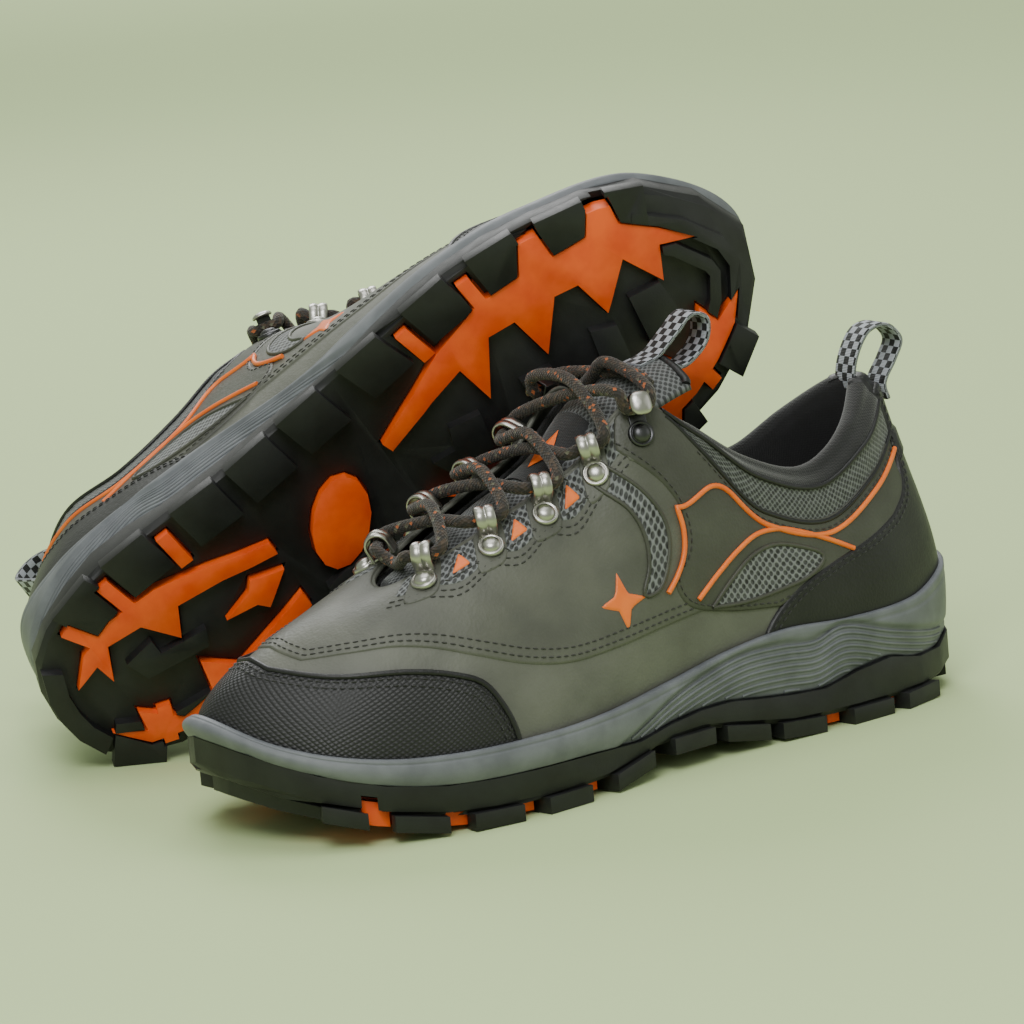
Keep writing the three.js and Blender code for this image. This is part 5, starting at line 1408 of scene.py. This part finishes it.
def build_midsole(shoe):
    """The foam wall, with its crease and the ribs under it."""
    us = np.arange(0, ROUND, 0.06)
    ts = np.linspace(0, 1, 30)
    grid_u, grid_t = np.meshgrid(us, ts)
    flat = wall(grid_u, grid_t)
    x, z = flat[..., 0], flat[..., 2]
    under = smoothstep(-0.8, 0.8, crease_height(x) - z) * smoothstep(4, 12, x) * (1 - smoothstep(172, 184, x))
    groove = np.exp(-((z - crease_height(x)) / 0.9)**2) * (1 - smoothstep(172, 184, x))
    band_line = np.exp(-((grid_t - 0.86) / 0.025)**2)
    swoosh = 0.8 * np.sin(math.pi * grid_t)
    out = swoosh - 1.5 * under - 0.5 * groove - 0.35 * band_line
    rows = list(wall(grid_u, grid_t, out))
    vl = v_lip(us)
    rows.append(skin(us, vl + 0.004, 2.9))
    rows.append(skin(us, vl + 0.005, 1.6))
    rows.append(skin(us, vl, 0.3))
    rows.append(skin(us, vl - 0.05, 0.2))
    bottom = [edge(us, 2.8, lambda q: rim_height(q) + 0.3), edge(us, 2.8, lambda q: rim_height(q) - 4)]
    rows = bottom[::-1] + rows
    piece("midsole", np.vstack(rows), grid_faces(len(rows), len(us), wrap_columns=True), FOAM, shoe,
          replaces=["midsole"])
    ribs = []
    for s in (1, -1):
        us = s * np.linspace(0.5, 8.0, 160)
        for k in range(RIB_COUNT):
            drop = RIB_STEP * (k + 0.8)
            base = wall(us, np.full(us.shape, 0.4))
            want = crease_height(base[:, 0]) - drop
            lo, hi = np.zeros(us.shape), np.ones(us.shape)
            for _ in range(14):
                mid = (lo + hi) / 2
                below = wall(us, mid)[:, 2] < want
                lo, hi = np.where(below, mid, lo), np.where(below, hi, mid)
            good = (lo > 0.04) & (lo < 0.96) & (base[:, 0] > 12) & (base[:, 0] < 170)
            pts = wall(us, lo, 0.8 * np.sin(math.pi * lo) - 1.55)
            ribs += runs(pts, good, closed=False)
    beads("midsole_ribs", ribs, 0.62, FOAM, shoe, sides=6)


# ---------------------------------------------------------------- moulded pieces that keep the CAD's shape
def bevelled(name, material, shoe, width, body="shoe", angle=28):
    """The CAD piece with its hard edges rounded as a mould leaves them."""
    node = f"{shoe}_{name}"
    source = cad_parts[node]
    bm = bmesh.new()
    bm.from_mesh(source.data)
    bmesh.ops.remove_doubles(bm, verts=bm.verts, dist=0.02 * MM)
    bmesh.ops.dissolve_limit(bm, angle_limit=math.radians(2.0), verts=bm.verts, edges=bm.edges)
    mesh = bpy.data.meshes.new(node + "_shape")
    bm.to_mesh(mesh)
    bm.free()
    holder = bpy.data.objects.new(node + "_holder", mesh)
    bpy.context.scene.collection.objects.link(holder)
    bevel = holder.modifiers.new("bevel", "BEVEL")
    bevel.width, bevel.segments, bevel.limit_method = width * MM, 2, "ANGLE"
    bevel.angle_limit = math.radians(angle)
    bevel.use_clamp_overlap = True
    bevel.harden_normals = False
    bpy.context.view_layer.update()
    made = bpy.data.meshes.new_from_object(holder.evaluated_get(bpy.context.evaluated_depsgraph_get()))
    bpy.data.objects.remove(holder)
    made.materials.clear()
    made.materials.append(material)
    made.shade_smooth()
    made.set_sharp_from_angle(angle=math.radians(38))
    obj = bpy.data.objects.new(node + "_moulded", made)
    bpy.context.scene.collection.objects.link(obj)
    return obj


SLOT_MATERIALS = {"shank": STEEL, "insole_board": INSOLE, "insole": INSOLE, "lining": LINING,
                  "toe_puff": LABEL, "heel_stiffener": LABEL}
for shoe in ("left", "right"):
    build_upper(shoe)
    build_collar(shoe)
    build_tongue(shoe)
    build_straps(shoe)
    build_fittings(shoe)
    build_lace(shoe)
    build_midsole(shoe)
    for name, material, slot in (("outsole", SOLE, "black_rubber"),
                                 ("tread_inserts", ORANGE, "orange_rubber")):
        obj = bevelled(name, material, shoe, 0.55)
        settle(obj, shoe, "shoe", [name])
    for name, material in SLOT_MATERIALS.items():
        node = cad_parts[f"{shoe}_{name}"]
        node.data.materials.clear()
        node.data.materials.append(material)
        node.data.shade_smooth()
        node.data.set_sharp_from_angle(angle=math.radians(35))

# ---------------------------------------------------------------- stage
floor_mesh = bpy.data.meshes.new("floor")
floor_mesh.from_pydata([(-6, -6, 0), (6, -6, 0), (6, 8, 0), (-6, 8, 0)], [], [(0, 1, 2, 3)])
floor = bpy.data.objects.new("floor", floor_mesh)
bpy.context.scene.collection.objects.link(floor)
floor_material, _, _ = new_material("pale green floor", "c2d69e", 0.9)
floor_mesh.materials.append(floor_material)

world = bpy.data.worlds.new("studio")
bpy.context.scene.world = world
world.use_nodes = True
world.node_tree.nodes["Background"].inputs["Color"].default_value = linear("e2ead6")
world.node_tree.nodes["Background"].inputs["Strength"].default_value = 0.6


def soft_box(name, place, target, size, watts, colour="ffffff"):
    data = bpy.data.lights.new(name, "AREA")
    data.shape, data.size, data.energy = "SQUARE", size, watts
    data.color = linear(colour)[:3]
    light = bpy.data.objects.new(name, data)
    bpy.context.scene.collection.objects.link(light)
    light.location = place
    light.rotation_mode = "QUATERNION"
    light.rotation_quaternion = (Vector(target) - Vector(place)).to_track_quat("-Z", "Y")


CENTRE = (0, 0, 0.08)
soft_box("key", (-0.9, -1.1, 1.5), CENTRE, 0.9, 24)
soft_box("fill", (1.6, -1.2, 0.7), CENTRE, 1.2, 4)
soft_box("rim", (0.5, 1.4, 1.3), CENTRE, 0.8, 14)
soft_box("top", (0, 0, 1.9), CENTRE, 1.2, 12)
soft_box("floor_wash", (2.2, 3.6, 2.0), (2.2, 3.5, 0), 2.6, 60)
